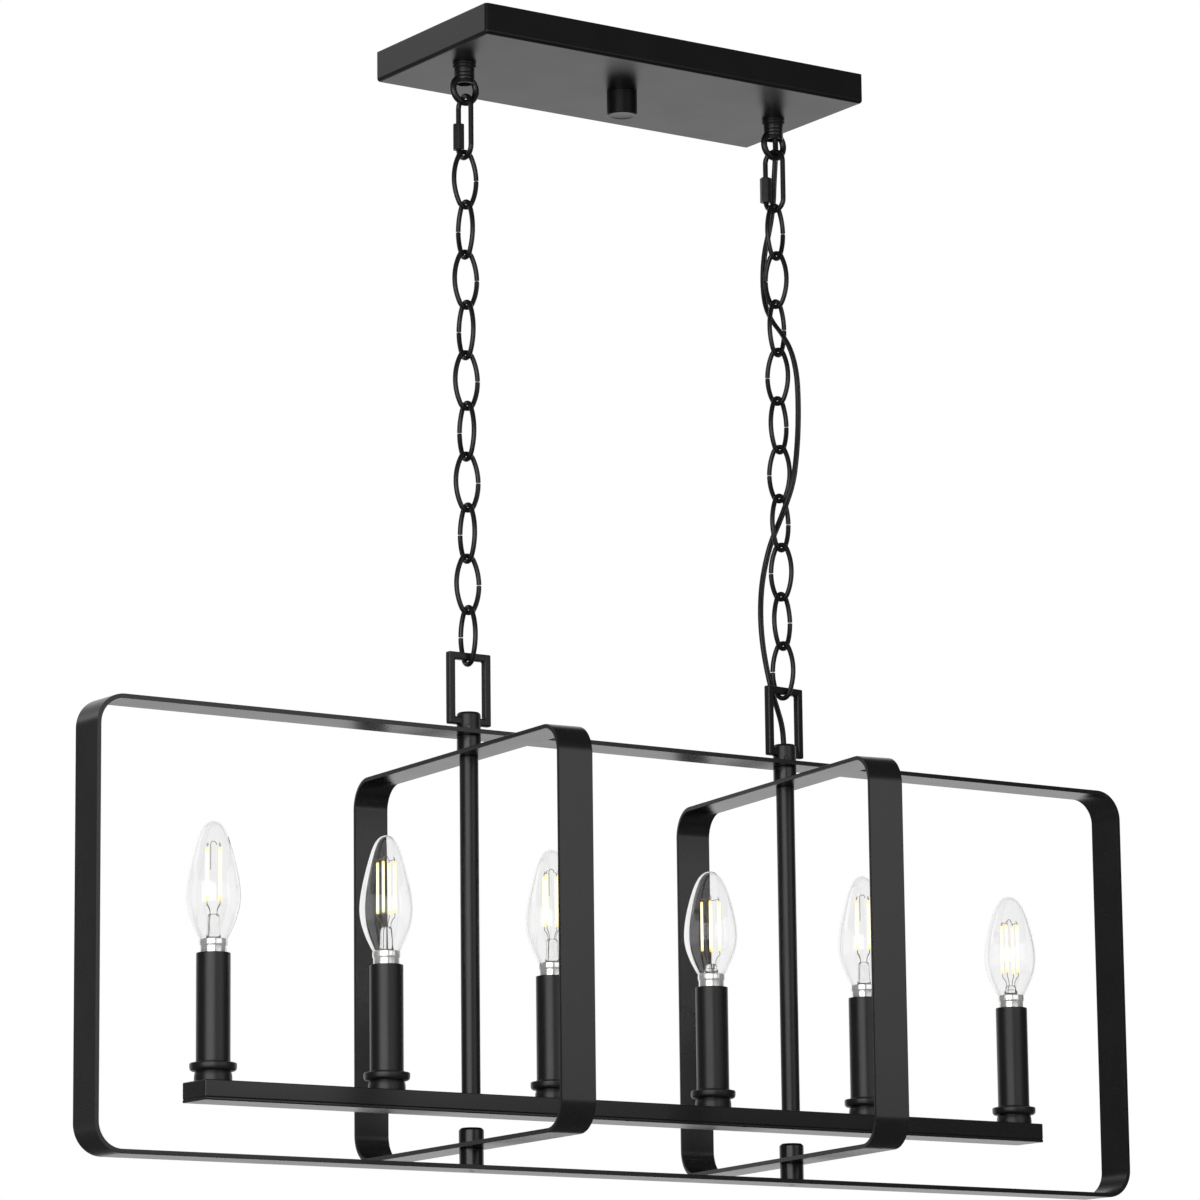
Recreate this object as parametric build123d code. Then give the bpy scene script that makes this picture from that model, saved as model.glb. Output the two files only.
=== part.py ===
"""Linear island pendant: a long strap frame with a row of candles, hung on two chains.

Origin: on the ceiling, at the middle of the crossbar. +X runs along the long frame,
-Y faces the viewer and +Z points up. All sizes are in millimetres.
"""

from build123d import *
import math
import os

# ---------------------------------------------------------------- driving dimensions

# Layout
SUSPENSION_SPACING = 260.0  # between the two chains, stems and cross frames
CANDLE_SPACING = 130.0
CANDLE_COUNT = 6
RING_TURN = {"left": 0.0, "right": 6.0}  # how far each screwed-in ring stands turned
CHAIN_TURN = {"left": 0.0, "right": 16.0}  # a hanging chain keeps a little twist
LOOP_TURN = {"left": 0.0, "right": 8.0}
CROSS_TURN = {"left": -4.5, "right": -8.5}  # the cross frames as they stand

# Clearances
THREAD_GAP = 0.15  # radial, between a thread and its mate
PIVOT_GAP = 0.3  # radial, where a cross frame turns on its pin
HANG_GAP = 0.3  # between two wires that hang in each other
BAR_HANG_GAP = 0.7  # the same under a flat bar, whose corners come nearer
SLIP_GAP = 0.3  # around a piece that is dropped into another

# Flat sides that stand for a round
ROUND_SIDES = 16
WIRE_SIDES = 6
GROUND_SIDES = 4
SMALL_SIDES = 8
GLASS_SIDES = 12

# Canopy and ceiling fixing
CANOPY_LENGTH = 315.0
CANOPY_WIDTH = 138.0
CANOPY_HEIGHT = 21.0
CANOPY_SHEET = 1.2
CANOPY_BEND = 2.5  # outer bend radius
CROSSBAR_LENGTH = 118.0
CROSSBAR_WIDTH = 20.0
CROSSBAR_THICKNESS = 2.5
SLOT_SPACING = 79.0
SLOT_LENGTH = 22.0
SLOT_WIDTH = 5.0
CAP_NUT_DIAMETER = 21.0
CAP_NUT_HEIGHT = 16.5
CAP_NUT_FLOOR = 3.0
CAP_NUT_CHAMFER = 1.0
GROUND_SCREW_X = 17.0
GROUND_SCREW_DIAMETER = 4.0
GROUND_HEAD_DIAMETER = 8.0
GROUND_HEAD_HEIGHT = 3.0

# Hollow threaded nipples, shared by the canopy, the stems and the candles
NIPPLE_DIAMETER = 9.5
NIPPLE_BORE = 7.0
NUT_ACROSS_FLATS = 14.0
NUT_HEIGHT = 3.5

# Canopy loop: threaded shank, flange, neck and ring in one casting
SHANK_DIAMETER = 13.0
SHANK_STAND = 1.5  # thread left above the lock nut
LOOP_BORE = 10.4
FLANGE_DIAMETER = 16.0
FLANGE_THICKNESS = 3.5
NECK_DIAMETER = 13.7
NECK_LENGTH = 10.7
RING_DIAMETER = 22.6
RING_WIRE = 4.5
RING_DROP = 18.05  # canopy underside to the ring's centre
RING_SEGMENTS = 16
LOCKNUT_ACROSS_FLATS = 18.0
LOCKNUT_HEIGHT = 4.0
WASHER_DIAMETER = 20.0
WASHER_THICKNESS = 1.0

# Quick link
QUICK_WIRE = 3.6
QUICK_LENGTH = 46.4
QUICK_WIDTH = 18.9
QUICK_GAP = 8.0  # gate opening, behind the sleeve nut
QUICK_END_STEPS = 6
SLEEVE_NUT_FLATS = 7.4
SLEEVE_NUT_LENGTH = 18.0
SLEEVE_NUT_LOW = 5.4  # the nut's middle below the link's middle

# Chain
LINK_WIRE = 3.4
LINK_LENGTH = 41.9
LINK_WIDTH = 21.2
LINK_END_RADIUS = 5.5  # of the wire's centre line
LINK_SLIT = 0.7
LINK_COUNT = 10
LINK_SIDE_STEPS = 3
LINK_END_STEPS = 4

# Hanging loop and its collar
HANG_WIDTH = 33.0
HANG_HEIGHT = 48.5
HANG_BAR = 5.0
HANG_EDGE = 1.0
HANG_LIFT = 4.3  # the loop's foot above the strap
COLLAR_DIAMETER = 16.0
COLLAR_HEIGHT = 12.7
COLLAR_CHAMFER = 1.0
GRUB_DIAMETER = 3.4
GRUB_HEIGHT = 2.2  # its axis above the strap
GRUB_ANGLE = -125.0  # about Z, from +X
GRUB_STAND = 0.5

# Long frame and cross frames
STRAP = 3.0
FRAME_LENGTH = 836.0
FRAME_HEIGHT = 290.0
FRAME_WIDTH = 28.0
CROSS_LENGTH = 284.0
CROSS_WIDTH = 25.0
FRAME_BEND = 20.0  # outer radius of a bent strap
SPACER_DIAMETER = 16.0
LOWER_SPACER_HEIGHT = 11.5
UPPER_SPACER_HEIGHT = 11.0
CAP_DIAMETER = 16.5
CAP_HEIGHT = 10.5
CAP_CHAMFER = 1.5
CAP_FLOOR = 2.0
SCREW_DIAMETER = 6.0
SCREW_HEAD_DIAMETER = 11.5

# Stems
STEM_DIAMETER = 12.5
STEM_BORE = 9.8
NIPPLE_ENGAGEMENT = 11.0
NIPPLE_SHORT = 3.0  # below the collar's top
NIPPLE_PAST_NUT = 1.0

# Candle bar
BAR_LENGTH = 678.0
BAR_WIDTH = 29.0
BAR_HEIGHT = 13.0
BAR_SHEET = 1.5
BAR_COVER = 2.0
BAR_BASE = 36.2  # its underside above the frame's
COVER_TRAY = 2.0

# Candles
CUP_NECK_DIAMETER = 24.1
CUP_NECK_HEIGHT = 7.8
CUP_FLANGE_DIAMETER = 30.3
CUP_FLANGE_HEIGHT = 4.0
CUP_UNDERCUT = 1.2
CUP_RECESS = 2.0
SLEEVE_DIAMETER = 22.0
SLEEVE_WALL = 1.0
SLEEVE_STAND = 70.1  # sleeve above the cup's rim
SOCKET_DIAMETER = 18.5
SOCKET_BORE = 12.5
SOCKET_FLOOR = 8.0
SOCKET_DEPTH = 1.2  # socket rim below the sleeve's mouth
SOCKET_LENGTH = 62.0
NIPPLE_IN_SOCKET = 6.0

# Bulb: 35 mm across, 98 mm long over all
BULB_SKIRT_DIAMETER = 17.5
BULB_SKIRT_BORE = 16.0
BULB_SKIRT_SHOW = 8.8  # skirt above the sleeve's mouth
BULB_SHELL_DIAMETER = 11.8
BULB_SHELL_LENGTH = 10.5
BULB_CONTACT_DIAMETER = 6.0
BULB_CONTACT_HEIGHT = 1.4
GLASS_WALL = 0.7
GLASS_NECK_DIAMETER = 15.4
GLASS_NECK_DEPTH = 4.0
GLASS_LENGTH = 76.2
# The glass from its lip to its widest place: share of the growth, share of the height
GLASS_RISE = [(0.0, 0.02), (0.32, 0.2), (0.66, 0.45), (0.92, 0.75)]
# and on to the tip: share of the belly's width left, share of the height
GLASS_FALL = [(1.0, 0.0), (0.9, 0.24), (0.72, 0.52), (0.38, 0.8)]
GLASS_BELLY_HEIGHT = 27.0
GLASS_BELLY_DIAMETER = 35.0
GLASS_LIP_DIAMETER = 17.6
GLASS_TIP_DIAMETER = 11.2
GLASS_TIP_HEIGHT = 2.7
GLASS_TIP_FLAT = 2.0
FILAMENT_LENGTH = 38.0
FILAMENT_SIDE = 1.5
FILAMENT_CIRCLE = 9.0
FILAMENT_STAND = 17.0  # above the skirt's rim
MOUNT_SIDE = 3.0
LEAD_SIDE = 0.8

# Supply cord and its separate ground wire
CORD_DIAMETER = 3.2
GROUND_WIRE_DIAMETER = 1.5
GROUND_OFFSET = (2.6, 0.85)  # of the ground wire's line beside the cord's
ARC_SHARE = 0.45  # share of the shorter run that an arc takes
# Points of the cord's line: across and behind the right chain's axis, and height.
CORD_ROUTE = [
    (0.4, -0.8, -24.0),
    (0.5, -0.7, -33.0),
    (3.2, 2.6, -41.0),
    (5.0, 6.0, -50.0),
    (5.2, 8.0, -63.0),
    (4.8, 8.7, -79.0),
    (2.4, 9.8, -96.0),
    (-1.6, 12.2, -116.0),
    (-2.6, 13.0, -137.0),
    (-2.4, 10.6, -154.0),
    (-1.8, 3.6, -166.0),
    (0.2, -4.8, -176.0),
    (3.2, -11.0, -188.0),
    (6.0, -13.6, -205.0),
    (7.2, -13.2, -225.0),
    (7.0, -12.6, -246.0),
    (4.6, -13.2, -266.0),
    (1.8, -12.8, -284.0),
    (-1.0, -7.8, -299.0),
    (-1.6, 0.2, -311.0),
    (-2.6, 8.4, -323.0),
    (-4.8, 12.6, -338.0),
    (-8.0, 13.6, -356.0),
    (-10.0, 12.4, -377.0),
    (-8.6, 12.2, -396.0),
    (-5.2, 12.6, -412.0),
    (-2.4, 11.2, -427.0),
    (-1.2, 6.8, -440.0),
    (-1.2, 1.6, -452.0),
    (-1.3, -0.4, -463.0),
    (-1.3, -0.4, -473.0),
]

# ---------------------------------------------------------------- derived heights

canopy_underside = -CANOPY_HEIGHT
canopy_floor = canopy_underside + CANOPY_SHEET
ring_centre_z = canopy_underside - RING_DROP
ring_radius = (RING_DIAMETER - RING_WIRE) / 2
ring_seat_z = ring_centre_z - ring_radius
quick_half = (QUICK_LENGTH - QUICK_WIRE) / 2
quick_centre_z = ring_seat_z + (RING_WIRE + QUICK_WIRE) / 2 + HANG_GAP - quick_half
quick_seat_z = quick_centre_z - quick_half
link_half = (LINK_LENGTH - LINK_WIRE) / 2
link_pitch = 2 * link_half - LINK_WIRE - HANG_GAP
first_link_z = quick_seat_z + (QUICK_WIRE + LINK_WIRE) / 2 + HANG_GAP - link_half
last_link_z = first_link_z - (LINK_COUNT - 1) * link_pitch
hang_top_z = last_link_z - link_half + LINK_WIRE / 2 + BAR_HANG_GAP + HANG_BAR
frame_top_z = hang_top_z - HANG_HEIGHT - HANG_LIFT
frame_base_z = frame_top_z - FRAME_HEIGHT
upper_cross_top_z = frame_top_z - STRAP - UPPER_SPACER_HEIGHT
stem_top_z = upper_cross_top_z - STRAP
lower_cross_z = frame_base_z + STRAP + LOWER_SPACER_HEIGHT
bar_base_z = frame_base_z + BAR_BASE
bar_top_z = bar_base_z + BAR_HEIGHT
cup_top_z = bar_top_z + CUP_NECK_HEIGHT + CUP_FLANGE_HEIGHT
sleeve_top_z = cup_top_z + SLEEVE_STAND
socket_top_z = sleeve_top_z - SOCKET_DEPTH
socket_base_z = socket_top_z - SOCKET_LENGTH
skirt_top_z = sleeve_top_z + BULB_SKIRT_SHOW
skirt_base_z = socket_top_z + SLIP_GAP
bar_inner_top_z = bar_top_z - BAR_SHEET
bar_nipple_foot_z = bar_inner_top_z - NUT_HEIGHT - NIPPLE_PAST_NUT
canopy_nipple_low = canopy_underside - CAP_NUT_HEIGHT + CAP_NUT_FLOOR + SLIP_GAP

SIDES = {"left": -SUSPENSION_SPACING / 2, "right": SUSPENSION_SPACING / 2}
CANDLE_XS = [(i - (CANDLE_COUNT - 1) / 2) * CANDLE_SPACING for i in range(CANDLE_COUNT)]


# ---------------------------------------------------------------- helpers


def turned(levels, sides=ROUND_SIDES):
    """A many-sided turned solid through (diameter, height) levels, from the lowest up."""
    rings = []
    for diameter, z in levels:
        angles = [2 * math.pi * i / sides for i in range(sides)]
        r = diameter / 2
        rings.append([Vector(r * math.cos(a), r * math.sin(a), z) for a in angles])
    outlines = [rings[0], rings[-1]]
    for low, high in zip(rings, rings[1:]):
        for i in range(sides):
            k = (i + 1) % sides
            outlines.append([low[i], low[k], high[k], high[i]])
    faces = [Face(Wire.make_polygon(outline)) for outline in outlines]
    return Solid(Shell(faces))


def cylinder(diameter, low, high, x=0.0, sides=ROUND_SIDES):
    """An upright many-sided round bar between two heights."""
    return Pos(x, 0, 0) * turned([(diameter, low), (diameter, high)], sides)


def tube(diameter, bore, low, high, sides=ROUND_SIDES):
    """An upright tube between two heights."""
    return cylinder(diameter, low, high, sides=sides) - cylinder(bore, low, high, sides=sides)


def hexagon(across_flats, low, high):
    """An upright hexagonal bar between two heights."""
    profile = RegularPolygon(across_flats / 2, 6, major_radius=False)
    return Pos(0, 0, low) * extrude(profile, high - low)


def bent_wire(points, wire, sides=WIRE_SIDES):
    """A wire of polygon section along straight pieces with mitred bends."""
    path = Polyline(*points)
    section = Plane(origin=path @ 0, z_dir=path % 0) * RegularPolygon(wire / 2, sides)
    return sweep(section, path=path, transition=Transition.RIGHT)


def strap_frame(length, width, height, base_z):
    """A closed rectangular ring of flat strap, bent on edge, standing in the XZ plane."""
    outer = RectangleRounded(length, height, FRAME_BEND)
    inner = RectangleRounded(length - 2 * STRAP, height - 2 * STRAP, FRAME_BEND - STRAP)
    ring = extrude(Plane.XZ * (outer - inner), width / 2, both=True)
    return Pos(0, 0, base_z + height / 2) * ring


def at_each(xs, solid):
    """One group with a copy of a solid at each X."""
    return Compound(children=[Pos(x, 0, 0) * solid for x in xs])


def at_side(side, turn, solid):
    """A solid turned about its own upright axis and set under one chain."""
    return Pos(SIDES[side], 0, 0) * Rot(0, 0, turn) * solid


def at_both(solid):
    """One group with a copy of a solid on each chain's axis."""
    return at_each(SIDES.values(), solid)


# ---------------------------------------------------------------- canopy and ceiling fixing


def make_canopy():
    """Folded sheet pan, open to the ceiling, with three holes in its floor."""
    pan = Pos(0, 0, -CANOPY_HEIGHT / 2) * Box(CANOPY_LENGTH, CANOPY_WIDTH, CANOPY_HEIGHT)
    bends = pan.edges().filter_by(Axis.Z) + pan.faces().sort_by(Axis.Z)[0].edges()
    pan = fillet(bends, CANOPY_BEND)
    sheets = 2 * CANOPY_SHEET
    inside = Box(CANOPY_LENGTH - sheets, CANOPY_WIDTH - sheets, CANOPY_HEIGHT)
    pan -= Pos(0, 0, canopy_floor + CANOPY_HEIGHT / 2) * inside
    pan -= cylinder(NIPPLE_DIAMETER + 2 * SLIP_GAP, canopy_underside, canopy_floor)
    for x in SIDES.values():
        pan -= cylinder(SHANK_DIAMETER + 2 * THREAD_GAP, canopy_underside, canopy_floor, x)
    return pan


def make_crossbar():
    """Flat bar screwed to the ceiling box through two slots."""
    bar = Box(CROSSBAR_LENGTH, CROSSBAR_WIDTH, CROSSBAR_THICKNESS)
    slot = extrude(SlotOverall(SLOT_LENGTH, SLOT_WIDTH), CROSSBAR_THICKNESS, both=True)
    for side in (-1, 1):
        bar -= Pos(side * SLOT_SPACING / 2, 0, 0) * slot
    bar = Pos(0, 0, -CROSSBAR_THICKNESS / 2) * bar
    bar -= cylinder(NIPPLE_DIAMETER + 2 * THREAD_GAP, -CROSSBAR_THICKNESS, 0)
    hole = GROUND_SCREW_DIAMETER + 2 * THREAD_GAP
    return bar - cylinder(hole, -CROSSBAR_THICKNESS, 0, GROUND_SCREW_X)


def make_ground_screw():
    """Earth screw with a hexagon head under the crossbar."""
    head = hexagon(GROUND_HEAD_DIAMETER, -GROUND_HEAD_HEIGHT, 0)
    head = Pos(0, 0, -CROSSBAR_THICKNESS) * head
    shank = cylinder(GROUND_SCREW_DIAMETER, -CROSSBAR_THICKNESS, 0)
    return Pos(GROUND_SCREW_X, 0, 0) * (head + shank)


def make_cap_nut():
    """Closed round nut under the canopy's middle."""
    base = canopy_underside - CAP_NUT_HEIGHT
    end = CAP_NUT_DIAMETER - 2 * CAP_NUT_CHAMFER
    nut = turned(
        [(end, base), (CAP_NUT_DIAMETER, base + CAP_NUT_CHAMFER), (CAP_NUT_DIAMETER, canopy_underside)]
    )
    return nut - cylinder(NIPPLE_DIAMETER + 2 * THREAD_GAP, base + CAP_NUT_FLOOR, canopy_underside)


def ring_half():
    """Wire of the ring's half on the +X side, from its top to its foot."""
    points = []
    for i in range(RING_SEGMENTS // 2 + 1):
        angle = math.pi / 2 - 2 * math.pi * i / RING_SEGMENTS
        z = ring_centre_z + ring_radius * math.sin(angle)
        points.append((ring_radius * math.cos(angle), 0, z))
    return bent_wire(points, RING_WIRE, SMALL_SIDES)


def make_canopy_loop(side):
    """Shank, flange, neck and ring of one loop, bored through for the cord."""
    shank_top = canopy_floor + WASHER_THICKNESS + LOCKNUT_HEIGHT + SHANK_STAND
    flange_base = canopy_underside - FLANGE_THICKNESS
    neck_base = flange_base - NECK_LENGTH
    body = cylinder(SHANK_DIAMETER, canopy_underside, shank_top)
    body += cylinder(FLANGE_DIAMETER, flange_base, canopy_underside)
    body += cylinder(NECK_DIAMETER, neck_base, flange_base)
    half = ring_half()
    body += half
    body += mirror(half, about=Plane.YZ)
    body -= cylinder(LOOP_BORE, neck_base, shank_top)
    return at_side(side, RING_TURN[side], body)


# ---------------------------------------------------------------- chains


def quick_link_path():
    """Centre line of a quick link in (across, up), from gate edge to gate edge."""
    r = (QUICK_WIDTH - QUICK_WIRE) / 2
    straight = quick_half - r
    top = []
    for i in range(QUICK_END_STEPS + 1):
        angle = math.pi * i / QUICK_END_STEPS
        top.append((r * math.cos(angle), straight + r * math.sin(angle)))
    bottom = [(-y, -z) for y, z in top]
    gate = -SLEEVE_NUT_LOW
    return [(r, gate + QUICK_GAP / 2), *top, *bottom, (r, gate - QUICK_GAP / 2)]


def make_quick_link(side):
    """Oval link, open at its gate, in the YZ plane."""
    points = [(0, y, quick_centre_z + z) for y, z in quick_link_path()]
    return at_side(side, CHAIN_TURN[side], bent_wire(points, QUICK_WIRE))


def make_sleeve_nut(side):
    """Hexagonal sleeve that closes the gate."""
    middle = quick_centre_z - SLEEVE_NUT_LOW
    low = middle - SLEEVE_NUT_LENGTH / 2
    high = middle + SLEEVE_NUT_LENGTH / 2
    nut = hexagon(SLEEVE_NUT_FLATS, low, high) - cylinder(QUICK_WIRE + 2 * THREAD_GAP, low, high)
    leg = (QUICK_WIDTH - QUICK_WIRE) / 2
    return at_side(side, CHAIN_TURN[side], Pos(0, leg, 0) * nut)


def link_path():
    """Centre line of a chain link in (across, up): four arcs, from slit edge to slit edge."""
    half_width = (LINK_WIDTH - LINK_WIRE) / 2
    end_z = link_half - LINK_END_RADIUS
    chord = half_width**2 + end_z**2 - LINK_END_RADIUS**2
    side_radius = chord / (2 * (half_width - LINK_END_RADIUS))
    side_x = half_width - side_radius
    meet = math.atan2(end_z, -side_x)
    side = []
    for i in range(LINK_SIDE_STEPS):
        angle = -meet + 2 * meet * i / LINK_SIDE_STEPS
        side.append((side_x + side_radius * math.cos(angle), side_radius * math.sin(angle)))
    end = []
    for i in range(LINK_END_STEPS):
        angle = meet + (math.pi - 2 * meet) * i / LINK_END_STEPS
        x = LINK_END_RADIUS * math.cos(angle)
        end.append((x, end_z + LINK_END_RADIUS * math.sin(angle)))
    half_loop = side + end
    loop = half_loop + [(-x, -z) for x, z in half_loop]
    middle = LINK_SIDE_STEPS // 2 + 1
    slit_x = side[middle - 1][0]
    return [(slit_x, LINK_SLIT / 2), *loop[middle:], *loop[:middle], (slit_x, -LINK_SLIT / 2)]


def make_link(index, side):
    """One open chain link; odd ones stand in the XZ plane and even ones in the YZ plane."""
    z = first_link_z - index * link_pitch
    points = [(x, 0, height) for x, height in link_path()]
    quarter = 90 * (index % 2)
    link = Pos(0, 0, z) * Rot(0, 0, quarter) * bent_wire(points, LINK_WIRE)
    return at_side(side, CHAIN_TURN[side], link)


def make_chain(side):
    """All links of one chain but the last, which turns with the loop below."""
    return Compound(children=[make_link(i, side) for i in range(LINK_COUNT - 1)])


# ---------------------------------------------------------------- loops, stems and frames


def make_hanging_loop(side):
    """Square-bar loop grown from a collar that screws onto the stem's nipple."""
    outer = Rectangle(HANG_WIDTH, HANG_HEIGHT)
    inner = Rectangle(HANG_WIDTH - 2 * HANG_BAR, HANG_HEIGHT - 2 * HANG_BAR)
    loop = extrude(Plane.XZ * (outer - inner), HANG_BAR / 2, both=True)
    loop = chamfer(loop.edges(), HANG_EDGE)
    loop = Pos(0, 0, hang_top_z - HANG_HEIGHT / 2) * loop
    top = frame_top_z + COLLAR_HEIGHT
    shoulder = top - COLLAR_CHAMFER
    mouth = COLLAR_DIAMETER - 2 * COLLAR_CHAMFER
    loop += turned([(COLLAR_DIAMETER, frame_top_z), (COLLAR_DIAMETER, shoulder), (mouth, top)])
    loop -= cylinder(NIPPLE_DIAMETER + 2 * THREAD_GAP, frame_top_z, top)
    loop -= grub_axis(GRUB_DIAMETER + 2 * THREAD_GAP, NIPPLE_DIAMETER / 2, COLLAR_DIAMETER)
    return at_side(side, LOOP_TURN[side], loop)


def grub_axis(diameter, start, stop):
    """A rod along the grub screw's axis, between two distances from the stem's axis."""
    rod = extrude(RegularPolygon(diameter / 2, SMALL_SIDES), stop - start)
    place = Pos(0, 0, frame_top_z + GRUB_HEIGHT) * Rot(0, 0, GRUB_ANGLE)
    return place * Pos(start, 0, 0) * Rot(0, 90, 0) * rod


def make_grub(side):
    """Grub screw that locks the collar."""
    start = NIPPLE_DIAMETER / 2 + THREAD_GAP
    stop = COLLAR_DIAMETER / 2 + GRUB_STAND
    return at_side(side, LOOP_TURN[side], grub_axis(GRUB_DIAMETER, start, stop))


def make_long_frame():
    """Long strap ring with two pivot holes above and two countersunk holes below."""
    frame = strap_frame(FRAME_LENGTH, FRAME_WIDTH, FRAME_HEIGHT, frame_base_z)
    for x in SIDES.values():
        hole = NIPPLE_DIAMETER + 2 * PIVOT_GAP
        frame -= cylinder(hole, frame_top_z - STRAP, frame_top_z, x)
        frame -= Pos(x, 0, 0) * countersunk(THREAD_GAP, frame_base_z + STRAP)
    return frame


def countersunk(gap, top):
    """A countersunk screw's form, grown by a gap, from the frame's underside to a height."""
    shank = SCREW_DIAMETER + 2 * gap
    head = SCREW_HEAD_DIAMETER + 2 * gap
    shoulder = frame_base_z + (head - shank) / 2
    return turned([(head, frame_base_z), (shank, shoulder), (shank, top)])


def make_cross_frame(side):
    """Cross strap ring that turns on the stem's nipple and on the lower screw."""
    height = upper_cross_top_z - lower_cross_z
    frame = Rot(0, 0, 90) * strap_frame(CROSS_LENGTH, CROSS_WIDTH, height, lower_cross_z)
    frame -= cylinder(NIPPLE_DIAMETER + 2 * PIVOT_GAP, stem_top_z, upper_cross_top_z)
    frame -= cylinder(SCREW_DIAMETER + 2 * PIVOT_GAP, lower_cross_z, lower_cross_z + STRAP)
    return at_side(side, CROSS_TURN[side], frame)


def make_lower_cap():
    """Blind cap nut that the lower screw pulls down on the cross frame."""
    base = lower_cross_z + STRAP
    top = base + CAP_HEIGHT
    end = CAP_DIAMETER - 2 * CAP_CHAMFER
    cap = turned([(CAP_DIAMETER, base), (CAP_DIAMETER, top - CAP_CHAMFER), (end, top)])
    return cap - cylinder(SCREW_DIAMETER + 2 * THREAD_GAP, base, top - CAP_FLOOR)


# ---------------------------------------------------------------- candle bar and candles


def make_candle_bar():
    """Inverted channel with closed ends; stems and candles stand on its top."""
    base = bar_base_z + BAR_COVER
    height = bar_top_z - base
    bar = Pos(0, 0, base + height / 2) * Box(BAR_LENGTH, BAR_WIDTH, height)
    inside = Box(BAR_LENGTH - 2 * BAR_SHEET, BAR_WIDTH - 2 * BAR_SHEET, height - BAR_SHEET)
    bar -= Pos(0, 0, base + (height - BAR_SHEET) / 2) * inside
    for x in [*SIDES.values(), *CANDLE_XS]:
        bar -= cylinder(NIPPLE_DIAMETER + 2 * SLIP_GAP, bar_top_z - BAR_SHEET, bar_top_z, x)
    return bar


def make_bar_cover():
    """Plate that closes the bar from below, with a raised tray inside the walls."""
    plate = Pos(0, 0, bar_base_z + BAR_COVER / 2) * Box(BAR_LENGTH, BAR_WIDTH, BAR_COVER)
    inset = 2 * (BAR_SHEET + SLIP_GAP)
    tray = Box(BAR_LENGTH - inset, BAR_WIDTH - inset, COVER_TRAY)
    return plate + Pos(0, 0, bar_base_z + BAR_COVER + COVER_TRAY / 2) * tray


def make_cup():
    """Turned candle cup: neck, undercut flange and a recess that seats the sleeve."""
    shoulder = bar_top_z + CUP_NECK_HEIGHT
    undercut = CUP_FLANGE_DIAMETER - 2 * CUP_UNDERCUT
    rim = CUP_FLANGE_DIAMETER
    cup = cylinder(CUP_NECK_DIAMETER, bar_top_z, shoulder)
    cup += turned([(undercut, shoulder), (rim, shoulder + CUP_UNDERCUT), (rim, cup_top_z)])
    cup -= cylinder(SLEEVE_DIAMETER + 2 * THREAD_GAP, cup_top_z - CUP_RECESS, cup_top_z)
    return cup - cylinder(NIPPLE_DIAMETER + 2 * THREAD_GAP, bar_top_z, cup_top_z - CUP_RECESS)


def make_sleeve():
    """Candle sleeve, a plain tube."""
    bore = SLEEVE_DIAMETER - 2 * SLEEVE_WALL
    return tube(SLEEVE_DIAMETER, bore, cup_top_z - CUP_RECESS, sleeve_top_z)


def make_socket():
    """Lamp socket screwed on the candle's nipple, bored for the bulb's shell."""
    nipple_top = socket_base_z + NIPPLE_IN_SOCKET + SLIP_GAP
    nipple_hole = NIPPLE_DIAMETER + 2 * THREAD_GAP
    bore_floor = nipple_top + SOCKET_FLOOR
    socket = cylinder(SOCKET_DIAMETER, socket_base_z, socket_top_z)
    socket -= cylinder(SOCKET_BORE, bore_floor, socket_top_z, sides=SMALL_SIDES)
    return socket - cylinder(nipple_hole, socket_base_z, nipple_top, sides=SMALL_SIDES)


def make_bulb_base():
    """Plated skirt, screw shell and contact of one bulb."""
    floor = skirt_top_z - GLASS_NECK_DEPTH - THREAD_GAP
    shell_base = skirt_base_z - BULB_SHELL_LENGTH
    contact_base = shell_base - BULB_CONTACT_HEIGHT
    base = cylinder(BULB_CONTACT_DIAMETER, contact_base, shell_base, sides=SMALL_SIDES)
    base += cylinder(BULB_SHELL_DIAMETER, shell_base, skirt_base_z, sides=SMALL_SIDES)
    base += cylinder(BULB_SKIRT_DIAMETER, skirt_base_z, skirt_top_z)
    return base - cylinder(BULB_SKIRT_BORE, floor, skirt_top_z)


def glass_envelope(inset, step):
    """The bulb's glass drawn in by an inset, from neck to tip, through every step-th level."""
    neck = GLASS_NECK_DIAMETER - 2 * inset
    lip = GLASS_LIP_DIAMETER - 2 * inset
    belly = GLASS_BELLY_DIAMETER - 2 * inset
    tip = GLASS_TIP_DIAMETER - 2 * inset
    top_z = skirt_top_z + GLASS_LENGTH - inset
    tip_z = top_z - GLASS_TIP_HEIGHT
    belly_z = skirt_top_z + GLASS_BELLY_HEIGHT
    levels = [(neck, skirt_top_z - GLASS_NECK_DEPTH), (neck, skirt_top_z)]
    for grown, height in GLASS_RISE[::step]:
        levels.append((lip + (belly - lip) * grown, skirt_top_z + GLASS_BELLY_HEIGHT * height))
    for left, height in GLASS_FALL[::step]:
        levels.append((tip + (belly - tip) * left, belly_z + (tip_z - belly_z) * height))
    return turned([*levels, (tip, tip_z), (GLASS_TIP_FLAT, top_z)], GLASS_SIDES)


def make_bulb_glass():
    """Thin blown envelope, open only at its neck."""
    return glass_envelope(0, 1) - glass_envelope(GLASS_WALL, 2)


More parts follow.
